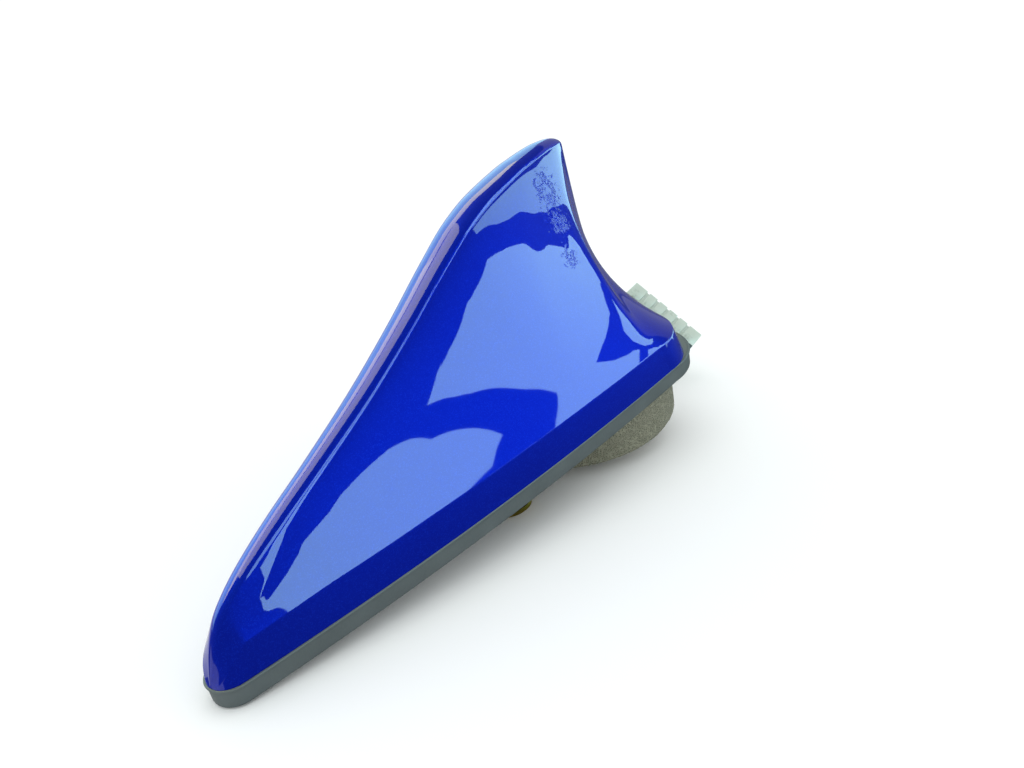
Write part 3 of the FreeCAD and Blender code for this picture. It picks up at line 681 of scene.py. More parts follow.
@dataclass
class FinCover:
    """The painted cover: a hollow moulding with a rounded spine, hollow flanks and a near-upright skirt."""

    shop: Workshop
    plan: PlanOutline
    height: float = 67.0
    seat: float = 5.0
    tail_lip: float = 3.5
    step: float = 0.2
    skirt: float = 7.5
    setback: float = 2.2
    crown: float = 9.4
    crown_drop: float = 1.6
    wall: float = 2.4
    thin_crown: float = 0.6
    crease_round: float = 0.6
    rear_sweep: Point = (0.06, 0.09)
    stations: int = 210
    hollow_span: Point = (0.045, 0.972)
    skirt_ups: tuple[float, ...] = (0.0, 0.40, 0.75, 1.0)
    skirt_inwards: tuple[float, ...] = (0.0, 0.36, 0.72, 1.0)
    low_shoulder: float = 0.62
    full_setback: float = 1.6
    least_half: float = 0.3
    least_crown: float = 0.1
    most_crown: float = 0.8
    drop_rate: float = 3.0
    least_rise: float = 0.1
    most_round: Point = (0.5, 0.25)
    skirt_points: int = 14
    flank_points: int = 56
    hollow_flank_points: int = 12
    round_points: int = 7
    crown_points: int = 10
    sharp_from_deg: float = 60.0

    def rows(self, shares: np.ndarray) -> list[np.ndarray]:
        """Read the table of sections.

        Args:
            shares: Shares of the cover's length.

        Returns:
            Height, crown and lean there.
        """
        table = np.array(COVER_SECTIONS)
        return [smooth_table(table[:, 0], table[:, column], shares) for column in (1, 2, 4)]

    def hollowness(self, share: float, climbs: np.ndarray) -> np.ndarray:
        """How hollow a section's flank is at each height: the rear crease sweeps back towards the tip.

        Args:
            share: Share of the cover's length.
            climbs: Shares of the flank's height.

        Returns:
            The hollow's power at each height.
        """
        table = np.array(COVER_SECTIONS)
        swept = share - climbs * (self.rear_sweep[0] + self.rear_sweep[1] * climbs)
        return smooth_table(table[:, 0], table[:, 3], np.maximum(swept, table[0, 0]))

    def section(self, share: float, row: Sequence[float], inset: float, flank_count: int) -> list[Place]:
        """One cross-section, from one foot over the spine to the other.

        Args:
            share: Share of the cover's length.
            row: Height share, crown share and lean.
            inset: The wall, for the hollow's section.
            flank_count: Points along each flank.

        Returns:
            The section's points in millimetres.
        """
        height_share, crown_share, lean = row
        station = share * (self.plan.length - self.tail_lip)
        half = max(self.plan.half_width(share * self.plan.length) - self.step - inset, self.least_half)
        least = self.thin_crown if inset else self.least_crown
        crown = min(max(self.crown / 2 * crown_share - inset, least), self.most_crown * half)
        spine = height_share * self.height - inset
        drop = self.crown_drop * min(1.0, self.drop_rate * crown / self.crown)
        crease = max(spine - drop, self.seat + self.least_rise)
        shoulder = min(self.seat + self.skirt, self.seat + self.low_shoulder * (crease - self.seat))
        setback = self.setback * min(1.0, half / self.skirt / self.full_setback)
        foot = half - setback
        ups = np.linspace(0.0, 1.0, self.skirt_points, endpoint=False)
        inwards = smooth_table(self.skirt_ups, self.skirt_inwards, ups)
        side = [(half - setback * into, self.seat + (shoulder - self.seat) * up)
                for up, into in zip(ups, inwards)]
        soft = min(self.crease_round, self.most_round[0] * crown, self.most_round[1] * (crease - shoulder))
        last = 1 - soft / (crease - shoulder)
        climbs = rounded_spread(flank_count) * last
        for climb, hollow in zip(climbs, self.hollowness(share, climbs)):
            side.append((crown + (foot - crown) * (1 - climb) ** hollow,
                         shoulder + (crease - shoulder) * climb))
        radius = (crown ** 2 + drop ** 2) / (2 * drop)
        turn = math.asin(min(crown / radius, 1.0))
        begin = turn * (1 - soft / crown)
        leave = (radius * math.sin(begin), spine - radius * (1 - math.cos(begin)))
        corners = (side[-1], (crown, crease), leave)
        for share_round in np.linspace(0.0, 1.0, self.round_points)[1:-1]:
            weights = ((1 - share_round) ** 2, 2 * share_round * (1 - share_round), share_round ** 2)
            side.append(tuple(sum(w * c[axis] for w, c in zip(weights, corners)) for axis in (0, 1)))
        for angle in np.linspace(begin, 0.0, self.crown_points, endpoint=False):
            side.append((radius * math.sin(angle), spine - radius * (1 - math.cos(angle))))
        whole = [(-y, z) for y, z in side] + [(0.0, spine)] + list(reversed(side))
        x = station - self.plan.nose_reach
        return [(x - lean * (z - self.seat), y, z) for y, z in whole]

    def skin(self, span: Point, inset: float, flank_count: int) -> np.ndarray:
        """A grid of sections.

        Args:
            span: First and last share of the length.
            inset: The wall, for the hollow's skin.
            flank_count: Points along each flank.

        Returns:
            Positions by section and by point.
        """
        shares = span[0] + (span[1] - span[0]) * rounded_spread(self.stations)
        columns = self.rows(shares)
        return np.array([self.section(share, row, inset, flank_count)
                         for share, row in zip(shares, zip(*columns))])

    def build(self) -> bpy.types.Object:
        """Make the hollow cover.

        Returns:
            The finished piece.
        """
        outer = self.skin((COVER_SECTIONS[0][0], COVER_SECTIONS[-1][0]), 0.0, self.flank_points)
        inner = self.skin(self.hollow_span, self.wall, self.hollow_flank_points)
        wide, slim = outer.shape[1], inner.shape[1]
        first = self.stations * wide
        out = np.arange(first).reshape(self.stations, wide)
        into = first + np.arange(self.stations * slim).reshape(self.stations, slim)
        faces = grid_faces(out, False) + grid_faces(into, True)
        for row in range(self.stations - 1):
            faces.append((out[row, 0], into[row, 0], into[row + 1, 0], out[row + 1, 0]))
            faces.append((out[row, -1], out[row + 1, -1], into[row + 1, -1], into[row, -1]))
        faces += [tuple(out[0, ::-1]), tuple(out[-1]), tuple(into[0]), tuple(into[-1, ::-1])]
        faces.append((out[0, 0], out[0, -1], into[0, -1], into[0, 0]))
        faces.append((out[-1, 0], into[-1, 0], into[-1, -1], out[-1, -1]))
        corners = np.concatenate([outer.reshape(-1, 3), inner.reshape(-1, 3)])
        piece = self.shop.mesh("painted_cover", corners, [tuple(int(n) for n in face) for face in faces])
        mould = bmesh.new()
        mould.from_mesh(piece.data)
        bmesh.ops.recalc_face_normals(mould, faces=mould.faces)
        if mould.calc_volume(signed=True) < 0:
            bmesh.ops.reverse_faces(mould, faces=mould.faces)
        mould.to_mesh(piece.data)
        mould.free()
        piece.data.set_sharp_from_angle(angle=math.radians(self.sharp_from_deg))
        return self.shop.settle(piece, Slot.PAINT, "fin_cover")


def grid_faces(grid: np.ndarray, turned: bool) -> list[tuple[int, ...]]:
    """Faces of a grid of corner numbers.

    Args:
        grid: Corner numbers by row and column.
        turned: Whether the faces look the other way.

    Returns:
        Four corner numbers for each face.
    """
    faces = []
    for row in range(grid.shape[0] - 1):
        for column in range(grid.shape[1] - 1):
            face = (grid[row, column], grid[row + 1, column],
                    grid[row + 1, column + 1], grid[row, column + 1])
            faces.append(face[::-1] if turned else face)
    return faces


@dataclass
class Gasket:
    """The rubber tray: a rim with eased edges, a flange below and a bead along its upper edge."""

    shop: Workshop
    plan: PlanOutline
    height: float = 5.0
    floor: float = 1.5
    rim: float = 4.0
    flange: float = 8.0
    ease: float = 0.6
    bead_radius: float = 0.35
    ease_points: int = 6
    bead_sides: int = 10
    sharp_from_deg: float = 40.0

    def profile(self) -> list[Point]:
        """Draw the tray's section, from the underside outwards and round.

        Returns:
            Inset from the outline and level of each point.
        """
        low = [(self.ease * (1 - math.sin(turn)), self.ease * (1 - math.cos(turn)))
               for turn in np.linspace(0.0, math.pi / 2, self.ease_points)]
        high = [(x, self.height - z) for x, z in reversed(low)]
        inner = self.rim + self.flange
        return low + high + [(self.rim, self.height), (self.rim, self.floor),
                             (inner, self.floor), (inner, 0.0)]

    def build(self) -> bpy.types.Object:
        """Make the tray by carrying its section round the outline.

        Returns:
            The finished piece.
        """
        path = self.plan.outline()
        tangent = np.roll(path, -1, axis=0) - np.roll(path, 1, axis=0)
        tangent /= np.linalg.norm(tangent, axis=1)[:, None]
        inward = np.stack([-tangent[:, 1], tangent[:, 0]], axis=1)
        heading = path[:, 1] * inward[:, 1]
        room = np.where(heading < -TINY, np.abs(path[:, 1] / np.where(heading < -TINY, inward[:, 1], 1.0)),
                        self.plan.nose_radius)
        room[path[:, 0] > self.plan.corner[0] - self.plan.nose_reach] = self.rim + self.flange
        profile = self.profile()
        count, levels = len(path), len(profile)
        corners = np.zeros((count, levels, 3))
        for level, (inset, z) in enumerate(profile):
            corners[:, level, :2] = path + inward * np.minimum(inset, room)[:, None]
            corners[:, level, 2] = z
        closed = room < self.rim + self.flange - TINY
        faces = []
        for spot in range(count):
            after = (spot + 1) % count
            for level in range(levels):
                above = (level + 1) % levels
                if level == levels - 2 and closed[spot] and closed[after]:
                    continue
                faces.append((spot * levels + level, after * levels + level,
                              after * levels + above, spot * levels + above))
        piece = self.shop.mesh("gasket_tray", corners.reshape(-1, 3), faces)
        mould = bmesh.new()
        mould.from_mesh(piece.data)
        bmesh.ops.remove_doubles(mould, verts=mould.verts, dist=TINY)
        bmesh.ops.dissolve_degenerate(mould, edges=mould.edges, dist=LEAST_EDGE)
        bmesh.ops.recalc_face_normals(mould, faces=mould.faces)
        mould.to_mesh(piece.data)
        mould.free()
        piece.data.set_sharp_from_angle(angle=math.radians(self.sharp_from_deg))
        return self.shop.settle(piece, Slot.RUBBER, "rubber_gasket")

    def bead(self) -> bpy.types.Object:
        """Make the bead that runs round the rim's upper edge.

        Returns:
            The finished piece.
        """
        path = self.plan.outline()
        data = bpy.data.curves.new("gasket_bead_path", "CURVE")
        data.dimensions = "3D"
        spline = data.splines.new("POLY")
        spline.points.add(len(path) - 1)
        for spot, (x, y) in zip(spline.points, path):
            spot.co = (x * MM, y * MM, (self.height - self.bead_radius) * MM, 1.0)
        spline.use_cyclic_u = True
        carrier = self.shop.link("gasket_bead", data)
        tube_along(carrier, self.bead_radius, self.bead_sides, self.shop.materials[Slot.RUBBER])
        piece = self.shop.baked(carrier)
        piece.data.shade_smooth()
        return self.shop.settle(piece, Slot.RUBBER)


def node_group(name: str, inputs: dict[str, float]) -> tuple[bpy.types.NodeTree, dict[str, str]]:
    """Start a geometry tree with named sizes.

    Args:
        name: The tree's name.
        inputs: Names and values of its sizes.

    Returns:
        The tree, and each size's socket identifier by name.
    """
    tree = bpy.data.node_groups.new(name, "GeometryNodeTree")
    tree.interface.new_socket("Geometry", in_out="INPUT", socket_type="NodeSocketGeometry")
    tree.interface.new_socket("Geometry", in_out="OUTPUT", socket_type="NodeSocketGeometry")
    known = {}
    for label, value in inputs.items():
        socket = tree.interface.new_socket(label, in_out="INPUT", socket_type="NodeSocketFloat")
        socket.default_value = value
        known[label] = socket.identifier
    return tree, known


def apply_tree(piece: bpy.types.Object, tree: bpy.types.NodeTree, known: dict[str, str],
               values: dict[str, float]) -> None:
    """Put a geometry tree on a piece.

    Args:
        piece: The piece.
        tree: The tree.
        known: Socket identifiers by name.
        values: The sizes by name.
    """
    modifier = piece.modifiers.new(tree.name, "NODES")
    modifier.node_group = tree
    for label, value in values.items():
        modifier[known[label]] = value


def tube_along(piece: bpy.types.Object, radius_mm: float, sides: int, material: bpy.types.Material) -> None:
    """Put a round tube along a curve.

    Args:
        piece: The curve's object.
        radius_mm: The tube's radius.
        sides: Corners of its section.
        material: Its finish.
    """
    sizes = {"Radius": radius_mm * MM}
    tree, known = node_group(f"{piece.name}_tube", sizes)
    start = add_node(tree, "NodeGroupInput")
    ring = add_node(tree, "GeometryNodeCurvePrimitiveCircle", {"Resolution": sides,
                                                               "Radius": start.outputs["Radius"]})
    tube = add_node(tree, "GeometryNodeCurveToMesh", {"Curve": start.outputs["Geometry"],
                                                      "Profile Curve": ring.outputs["Curve"],
                                                      "Fill Caps": True})
    finish_tree(tree, tube.outputs["Mesh"], material)
    apply_tree(piece, tree, known, sizes)


def finish_tree(tree: bpy.types.NodeTree, made: bpy.types.NodeSocket, material: bpy.types.Material) -> None:
    """End a geometry tree: real geometry with its finish.

    Args:
        tree: The tree.
        made: The geometry so far.
        material: Its finish.
    """
    real = add_node(tree, "GeometryNodeRealizeInstances", {"Geometry": made})
    dressed = add_node(tree, "GeometryNodeSetMaterial", {"Geometry": real.outputs["Geometry"],
                                                         "Material": material})
    add_node(tree, "NodeGroupOutput", {"Geometry": dressed.outputs["Geometry"]})


@dataclass
class FoamPad:
    """The open-cell foam disc under the tail."""

    shop: Workshop
    voxel_mm: float = 0.6
    pore_mm: float = 1.0
    pore_depth_mm: float = 0.25
    rounding: int = 3
    pore_fall: float = 1.3

    def build(self) -> bpy.types.Object:
        """Make the pad: the solid's form with soft edges and a pitted skin.

        Returns:
            The finished piece.
        """
        piece = self.shop.copied("foam_disc", "foam_pad")
        remesh = piece.modifiers.new("even", "REMESH")
        remesh.mode = "VOXEL"
        remesh.voxel_size = self.voxel_mm * MM
        smooth = piece.modifiers.new("soft_edges", "SMOOTH")
        smooth.iterations = self.rounding
        piece = self.shop.baked(piece)
        scale = per_metre(self.pore_mm)
        for spot in piece.data.vertices:
            near, far = noise.voronoi(spot.co * scale)[0][:2]
            pit = max(0.0, 1.0 - near / max(far, TINY) * self.pore_fall)
            spot.co -= spot.normal * (pit * self.pore_depth_mm * MM)
        piece.data.shade_smooth()
        self.shop.settle(piece, Slot.FOAM, "foam_pad")
        return piece


@dataclass
class PlugAndCable:
    """The short cable from the boot to the plug, and the plug's pieces."""

    shop: Workshop
    radius: float = 2.3
    length: float = 63.2
    route: tuple[Place, ...] = (
        (31.0, 0.0, -5.5),
        (42.0, 0.0, -5.5),
        (56.0, -1.6, -6.1),
        (70.0, -5.4, -7.3),
        (82.0, -7.2, -7.9),
        (93.5, -7.2, -7.9),
    )
    plug_width: float = 28.0
    plug_height: float = 7.5
    lean_deg: float = 39.0
    wall: float = 1.2
    lands: int = 6
    slot_width: float = 1.0
    slot_depth: float = 1.2
    web_drop: float = 0.45
    retainer_length: float = 2.6
    web_length: float = 7.5
    ribs_per_land: int = 3
    rib_pitch: float = 1.0
    rib_width: float = 0.45
    rib_height: float = 0.35
    rib_length: float = 2.4
    line_order: int = 3
    line_steps: int = 16
    round_steps: int = 6
    housing_ease: float = 0.2
    retainer_ease: float = 0.15

    def cable(self, plug: list[bpy.types.Object]) -> bpy.types.Object:
        """Make the cable on one smooth curve.

        Args:
            plug: The pieces on its far end; not used.

        Returns:
            The finished cord.
        """
        data = bpy.data.curves.new("pigtail_line", "CURVE")
        data.dimensions = "3D"
        spline = data.splines.new("NURBS")
        spline.points.add(len(self.route) - 1)
        for spot, (x, y, z) in zip(spline.points, self.route):
            spot.co = (x * MM, y * MM, z * MM, 1.0)
        spline.order_u = self.line_order
        spline.use_endpoint_u = True
        spline.resolution_u = self.line_steps
        data.bevel_depth = self.radius * MM
        data.bevel_resolution = self.round_steps
        data.use_fill_caps = True
        piece = self.shop.link("pigtail_cord", data)
        self.shop.settle(piece, Slot.JACKET, "pigtail")
        return piece

    def bars(self, name: str, size_mm: Place, rows: Sequence[tuple[int, float]], middle_mm: Place
             ) -> bpy.types.Object:
        """Make rows of small bars on the plug's upper face.

        Args:
            name: The piece's name.
            size_mm: Length, width and height of a bar.
            rows: Number and spacing of the bars, then of the groups of bars.
            middle_mm: Middle of the whole set, in the plug's own frame.

        Returns:
            The finished piece.
        """
        sizes = {label: value * MM for label, value in zip(("Length", "Width", "Height"), size_mm)}
        sizes.update({f"Spacing {level}": spacing * MM for level, (_, spacing) in enumerate(rows)})
        tree, known = node_group(name, sizes)
        start = add_node(tree, "NodeGroupInput")
        size = add_node(tree, "ShaderNodeCombineXYZ", {"X": start.outputs["Length"],
                                                       "Y": start.outputs["Width"],
                                                       "Z": start.outputs["Height"]})
        made = add_node(tree, "GeometryNodeMeshCube", {"Size": size.outputs["Vector"]}).outputs["Mesh"]
        for level, (count, _) in enumerate(rows):
            step = add_node(tree, "ShaderNodeCombineXYZ", {"Y": start.outputs[f"Spacing {level}"]})
            begin = add_node(tree, "ShaderNodeVectorMath", {0: step.outputs["Vector"],
                                                            "Scale": -(count - 1) / 2}, operation="SCALE")
            row = add_node(tree, "GeometryNodeMeshLine", {"Count": count, "Offset": step.outputs["Vector"],
                                                          "Start Location": begin.outputs["Vector"]})
            many = add_node(tree, "GeometryNodeInstanceOnPoints", {"Points": row.outputs["Mesh"],
                                                                   "Instance": made})
            made = many.outputs["Instances"]
        finish_tree(tree, made, self.shop.materials[Slot.NYLON])
        piece = self.shop.link(name, bpy.data.meshes.new(name))
        apply_tree(piece, tree, known, sizes)
        piece = self.shop.baked(piece)
        turn = Matrix.Rotation(math.radians(self.lean_deg), 4, "X")
        back = Matrix.Translation(Vector(self.route[-1]) * MM)
        piece.data.transform(back @ turn @ Matrix.Translation(Vector(middle_mm) * MM))
        return self.shop.settle(piece, Slot.NYLON)

    def ribs(self) -> bpy.types.Object:
        """Make the fine ribs on the plug's upper ledge, some on each land between the slots.

        Returns:
            The finished piece.
        """
        land_pitch = (self.plug_width - 2 * self.wall) / self.lands
        middle = (self.retainer_length + self.rib_length / 2, 0.0, (self.plug_height + self.rib_height) / 2)
        return self.bars("plug_fine_ribs", (self.rib_length, self.rib_width, self.rib_height),
                         ((self.ribs_per_land, self.rib_pitch), (self.lands, land_pitch)), middle)

    def webs(self) -> bpy.types.Object:
        """Make the thin webs that close the slots of the comb most of the way up.

        Returns:
            The finished piece.
        """
        land_pitch = (self.plug_width - 2 * self.wall) / self.lands
        height = self.slot_depth - self.web_drop
        middle = (self.retainer_length + self.web_length / 2, 0.0,
                  self.plug_height / 2 - self.slot_depth + height / 2)
        return self.bars("plug_slot_webs", (self.web_length, self.slot_width, height),
                         ((self.lands - 1, land_pitch),), middle)

    def build(self) -> None:
        """Make the plug's pieces and the cable."""
        housing = self.shop.softened("connector_housing", Slot.NYLON, self.housing_ease)
        retainer = self.shop.softened("connector_retainer", Slot.BLACK, self.retainer_ease)
        self.shop.paint("connector_contacts", Slot.TIN)
        self.cable([housing, retainer, self.ribs(), self.webs(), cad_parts["connector_contacts"]])


# Pieces that show from below, with the width in mm of their eased edges
EASED_SOLIDS = (
    ("base_plate", Slot.CAST, 0.3),
    ("boss_seal", Slot.RUBBER, 0.4),
    ("cable_boot", Slot.RUBBER, 0.4),
    ("retaining_claw", Slot.YELLOW, 0.2),
)
# Pieces under the cover that show as the solids are
PLAIN_SOLIDS = (
    ("cover_screws", Slot.ZINC),
    ("board_screws", Slot.ZINC),
    ("main_board", Slot.BOARD),
    ("shield_can", Slot.TIN),
    ("gnss_patch", Slot.CERAMIC),
    ("gnss_feed_pin", Slot.TIN),
    ("element_carrier", Slot.BLACK),
    ("top_load_plate", Slot.TIN),
    ("element_contact", Slot.COPPER),
    ("cellular_board", Slot.BOARD),
    ("amplifier_chips", Slot.BLACK),
)


@dataclass
class Inside:
    """The die-cast base and what stands on it under the cover."""

    shop: Workshop
    coil_foot: Place = (-6.0, 0.0, 10.6)
    coil_radius: float = 3.4
    coil_height: float = 11.0
    wire_radius: float = 0.45
    turns: int = 9
    turn_steps: int = 28
    wire_sides: int = 8

    def winding(self) -> bpy.types.Object:
        """Make the coil's wire as one helix.

        Returns:
            The finished piece.
        """
        sizes = {"Radius": (self.coil_radius - self.wire_radius) * MM,
                 "Height": (self.coil_height - 2 * self.wire_radius) * MM}
        tree, known = node_group("coil_winding", sizes)
        start = add_node(tree, "NodeGroupInput")
        helix = add_node(tree, "GeometryNodeCurveSpiral", {
            "Resolution": self.turn_steps, "Rotations": float(self.turns),
            "Start Radius": start.outputs["Radius"],
            "End Radius": start.outputs["Radius"], "Height": start.outputs["Height"]})
        ring = add_node(tree, "GeometryNodeCurvePrimitiveCircle", {"Resolution": self.wire_sides,
                                                                   "Radius": self.wire_radius * MM})
        wire = add_node(tree, "GeometryNodeCurveToMesh", {"Curve": helix.outputs["Curve"], "Fill Caps": True,
                                                          "Profile Curve": ring.outputs["Curve"]})
        finish_tree(tree, wire.outputs["Mesh"], self.shop.materials[Slot.COPPER])
        piece = self.shop.link("coil_wire", bpy.data.meshes.new("coil_wire"))
        apply_tree(piece, tree, known, sizes)
        piece = self.shop.baked(piece)
        foot = Vector(self.coil_foot) * MM + Vector((0.0, 0.0, self.wire_radius * MM))
        piece.data.transform(Matrix.Translation(foot))
        piece.data.shade_smooth()
        return self.shop.settle(piece, Slot.COPPER, "loading_coil")

    def build(self) -> None:
        """Ease the pieces that show from below and finish the rest."""
        for node, slot, edge_mm in EASED_SOLIDS:
            self.shop.softened(node, slot, edge_mm)
        self.winding()
        for node, slot in PLAIN_SOLIDS:
            self.shop.paint(node, slot)


# Neutral light for the walls and the floor, and warm light that keeps the spine's far side from violet
WHITE_CARD = "#ffffff"
FAR_CARD = "#fff8b8"


@dataclass(frozen=True)
class MirrorCard:
    """A bright card that only the gloss mirrors, given by the compass and height angles of its corners."""

    name: str
    corners_deg: tuple[Point, ...]
    radiance: float
    colour: str = "#c0f7ff"
    distance: float = 8.0

    def corner(self, compass: float, height: float) -> Place:
        """Find where a corner hangs.

        Args:
            compass: Angle round the part, from the near side towards the tail.
            height: Angle above the part's own plane.

        Returns:
            The corner's place in metres.
        """
        turn, rise = math.radians(compass), math.radians(height)
        flat = self.distance * math.cos(rise)
        return flat * math.sin(turn), -flat * math.cos(turn), self.distance * math.sin(rise)

    def build(self) -> None:
        """Hang the card."""
        data = bpy.data.meshes.new(self.name)
        data.from_pydata([self.corner(*corner) for corner in self.corners_deg], [],
                         [tuple(range(len(self.corners_deg)))])
        made = bpy.data.materials.new(self.name)
        made.use_nodes = True
        tree = made.node_tree
        glow = add_node(tree, "ShaderNodeEmission", {"Color": linear(self.colour), "Strength": self.radiance})
        tree.links.new(glow.outputs["Emission"], tree.nodes["Material Output"].inputs["Surface"])
        data.materials.append(made)
        card = bpy.data.objects.new(self.name, data)
        bpy.context.scene.collection.objects.link(card)
        card.visible_camera = False
        card.visible_diffuse = False
        card.visible_shadow = False
        card.visible_transmission = False


# What the lacquer mirrors: the near side's window and ceiling, then the table, the ends and the far side
CARDS = (
    MirrorCard("window", ((18, 20.7), (21, 16.5), (27, 12), (33, 9.5), (35, 8.6), (39, 9), (47, 8.8),
                          (52, 8.3), (57, 9.6), (60, 10.5), (57, 15), (54.5, 18.5), (50, 22), (46, 22.6),
                          (40, 22.8), (30, 22.8), (21, 22.5)), 6.0),
    MirrorCard("window_post", ((30.5, 22.5), (40, 22.5), (42, 25), (46, 27.8), (39, 29.3), (33, 32),
                               (25, 34.8), (20, 33), (21.5, 29), (24.5, 27.2), (27.5, 25.5),
                               (29.7, 23.3)), 6.0),
    MirrorCard("window_edge", ((57, 18.2), (54.3, 20.8), (52, 22.6), (48.3, 24.8), (47.2, 26.5), (48, 28),
                               (60, 27.5), (60, 25), (54, 24.5), (57, 21)), 6.0),
    MirrorCard("ceiling", ((-0.6, 10.6), (2, 11), (8, 12.6), (12, 18.7), (15, 21.1), (17, 24.5), (21, 25.4),
                           (23, 26), (21.3, 28), (16, 30.5), (8, 31), (0, 28), (1, 20), (0.5, 17),
                           (-0.6, 15.5)), 6.0),
    MirrorCard("crease_glint", ((-26, 50), (-20, 40), (-10, 34), (2, 34), (10, 34), (10, 44), (-4, 49)), 5.0),
    MirrorCard("ceiling_rear", ((47, 28.8), (51, 30), (53, 45), (20, 45), (24, 36.2), (33, 33.5),
                                (39, 30.7)), 6.0),
    MirrorCard("table", ((38, 0), (42, 3.5), (46, 4.4), (52, 3.6), (57, 3.8), (66, 2), (76, -1.5), (88, -5),
                         (88, -12.5), (72, -12.5), (63, -8.5), (58, -6.8), (50, -5.5), (40, -5.2)), 4.0),
    MirrorCard("rear_wall", ((63, 14), (72, 6), (95, -4), (120, -4), (120, 28), (63, 28)), 0.4, WHITE_CARD),
    MirrorCard("front_floor", ((-140, -40), (-80, -40), (-80, 0), (-140, 0)), 0.8, WHITE_CARD),
    MirrorCard("far_room_rear", ((96, -60), (125, -60), (125, -5), (96, -5)), 0.2, WHITE_CARD),
    MirrorCard("far_room_middle", ((120, -60), (160, -60), (160, 5), (120, 5)), 0.9, WHITE_CARD),
    MirrorCard("far_room_front", ((160, -60), (205, -60), (205, 5), (160, 5)), 0.9, WHITE_CARD),
    MirrorCard("far_window_rear", ((112, 5), (165, 5), (165, 38), (112, 36)), 2.2),
    MirrorCard("far_upper_rear", ((112, 36), (165, 38), (165, 56), (112, 48)), 4.5, FAR_CARD),
    MirrorCard("far_window_front", ((165, 5), (215, 5), (215, 38), (165, 38)), 3.0),
    MirrorCard("far_upper_front", ((165, 38), (215, 38), (215, 56), (165, 56)), 6.5, FAR_CARD),
    MirrorCard("sky_over_spine", ((150, 56), (215, 56), (250, 66), (275, 76), (90, 82)), 4.0, FAR_CARD),
)


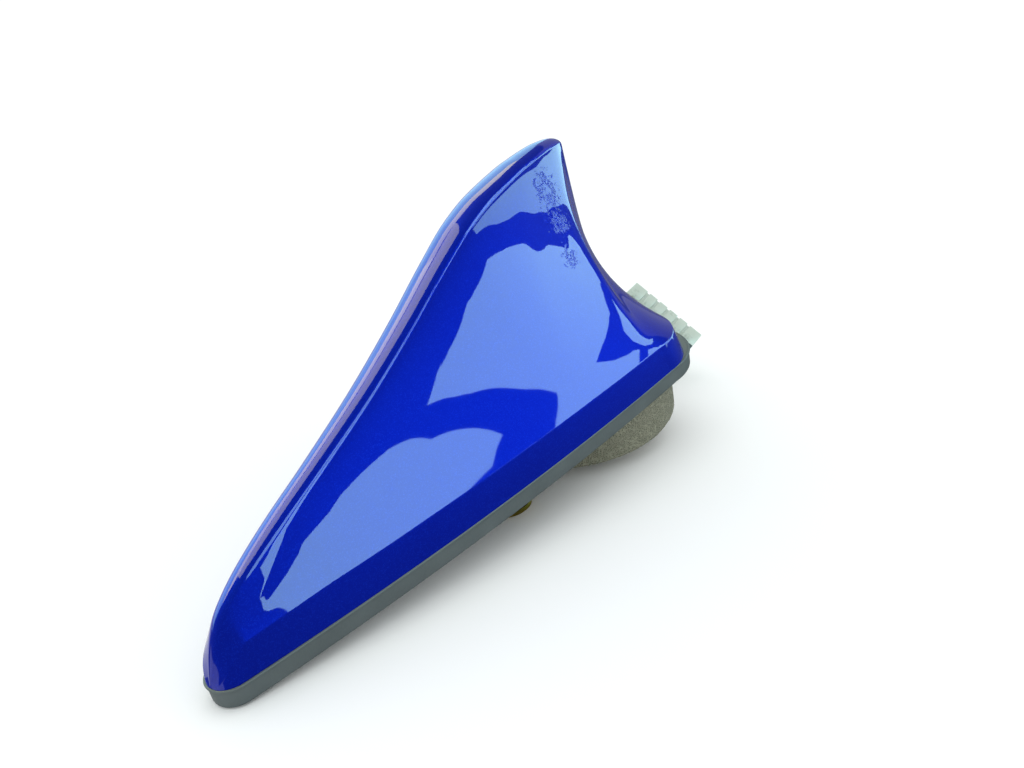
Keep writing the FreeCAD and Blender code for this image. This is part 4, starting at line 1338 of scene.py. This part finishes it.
@dataclass
class Studio:
    """Camera, pale floor and soft light."""

    eye_mm: Place = (-153.6, -139.16, 131.27)
    right: Place = (0.52761825, -0.83028976, -0.17954913)
    up: Place = (0.49117215, 0.12572794, 0.86194107)
    back: Place = (-0.6930865, -0.54296537, 0.47415157)
    focal_px: float = 934.2242
    frame_px: float = 1024.0
    sensor_mm: float = 36.0
    floor_touch_mm: Place = (-88.0, 0.0, -0.1)
    floor_pitch_deg: float = 8.2
    floor_size: float = 200.0
    floor_grey: float = 0.97
    floor_roughness: float = 0.9
    clip: Point = (0.005, 400.0)
    horizon: float = 0.85
    zenith: float = 1.32
    sky_colour: str = "#faffff"
    backdrop: float = 1.1
    reflected_sky: float = 0.06

    def camera(self) -> None:
        """Place the camera at the photograph's point of view."""
        data = bpy.data.cameras.new("view")
        data.sensor_width = self.sensor_mm
        data.lens = self.focal_px / self.frame_px * self.sensor_mm
        data.clip_start, data.clip_end = self.clip
        eye = bpy.data.objects.new("view", data)
        bpy.context.scene.collection.objects.link(eye)
        turn = Matrix((self.right, self.up, self.back)).transposed().to_4x4()
        eye.matrix_world = Matrix.Translation(Vector(self.eye_mm) * MM) @ turn
        bpy.context.scene.camera = eye

    def floor(self) -> None:
        """Lay the pale floor under the nose and the pieces below the base."""
        half = self.floor_size / 2
        data = bpy.data.meshes.new("floor")
        data.from_pydata([(-half, -half, 0), (half, -half, 0), (half, half, 0), (-half, half, 0)], [],
                         [(0, 1, 2, 3)])
        floor = bpy.data.objects.new("floor", data)
        bpy.context.scene.collection.objects.link(floor)
        floor.matrix_world = (Matrix.Translation(Vector(self.floor_touch_mm) * MM)
                              @ Matrix.Rotation(math.radians(self.floor_pitch_deg), 4, "Y"))
        made = bpy.data.materials.new("pale_floor")
        made.use_nodes = True
        tree = made.node_tree
        shader = tree.nodes["Principled BSDF"]
        shader.inputs["Base Color"].default_value = (self.floor_grey,) * 3 + (1.0,)
        shader.inputs["Roughness"].default_value = self.floor_roughness
        shader.inputs["Specular IOR Level"].default_value = 0.0
        clear = add_node(tree, "ShaderNodeBsdfTransparent")
        side = add_node(tree, "ShaderNodeNewGeometry")
        both = add_node(tree, "ShaderNodeMixShader", {0: side.outputs["Backfacing"],
                                                      1: shader.outputs["BSDF"],
                                                      2: clear.outputs["BSDF"]})
        tree.links.new(both.outputs[0], tree.nodes["Material Output"].inputs["Surface"])
        data.materials.append(made)
        floor.visible_glossy = False

    def light(self) -> None:
        """Pale sky all round, darker where the lacquer mirrors it, and the cards that it mirrors."""
        scene = bpy.context.scene
        scene.view_settings.view_transform = "Standard"
        world = bpy.data.worlds.new("pale_room")
        scene.world = world
        world.use_nodes = True
        tree = world.node_tree
        ray = add_node(tree, "ShaderNodeLightPath")
        heading = add_node(tree, "ShaderNodeTexCoord").outputs["Generated"]
        rise = add_node(tree, "ShaderNodeSeparateXYZ", {"Vector": heading}).outputs["Z"]
        light = add_node(tree, "ShaderNodeMapRange", {"Value": rise, "To Min": self.horizon,
                                                      "To Max": self.zenith})
        mirrored = add_node(tree, "ShaderNodeMix", {"Factor": ray.outputs["Is Glossy Ray"],
                                                    "A": light.outputs["Result"], "B": self.reflected_sky})
        strength = add_node(tree, "ShaderNodeMix", {"Factor": ray.outputs["Is Camera Ray"],
                                                    "A": mirrored.outputs["Result"], "B": self.backdrop})
        tree.links.new(strength.outputs["Result"], tree.nodes["Background"].inputs["Strength"])
        tree.nodes["Background"].inputs["Color"].default_value = linear(self.sky_colour)
        for card in CARDS:
            card.build()

    def build(self) -> None:
        """Set up the whole studio."""
        self.camera()
        self.floor()
        self.light()


def main() -> None:
    """Build the part, then the studio round it."""
    logging.basicConfig(level=logging.INFO, format="%(name)s: %(message)s")
    Studio().build()
    shop = Workshop()
    plan = PlanOutline()
    PlugAndCable(shop).build()
    FinCover(shop, plan).build()
    gasket = Gasket(shop, plan)
    gasket.build()
    gasket.bead()
    FoamPad(shop).build()
    Inside(shop).build()


if __name__ == "__main__":
    main()
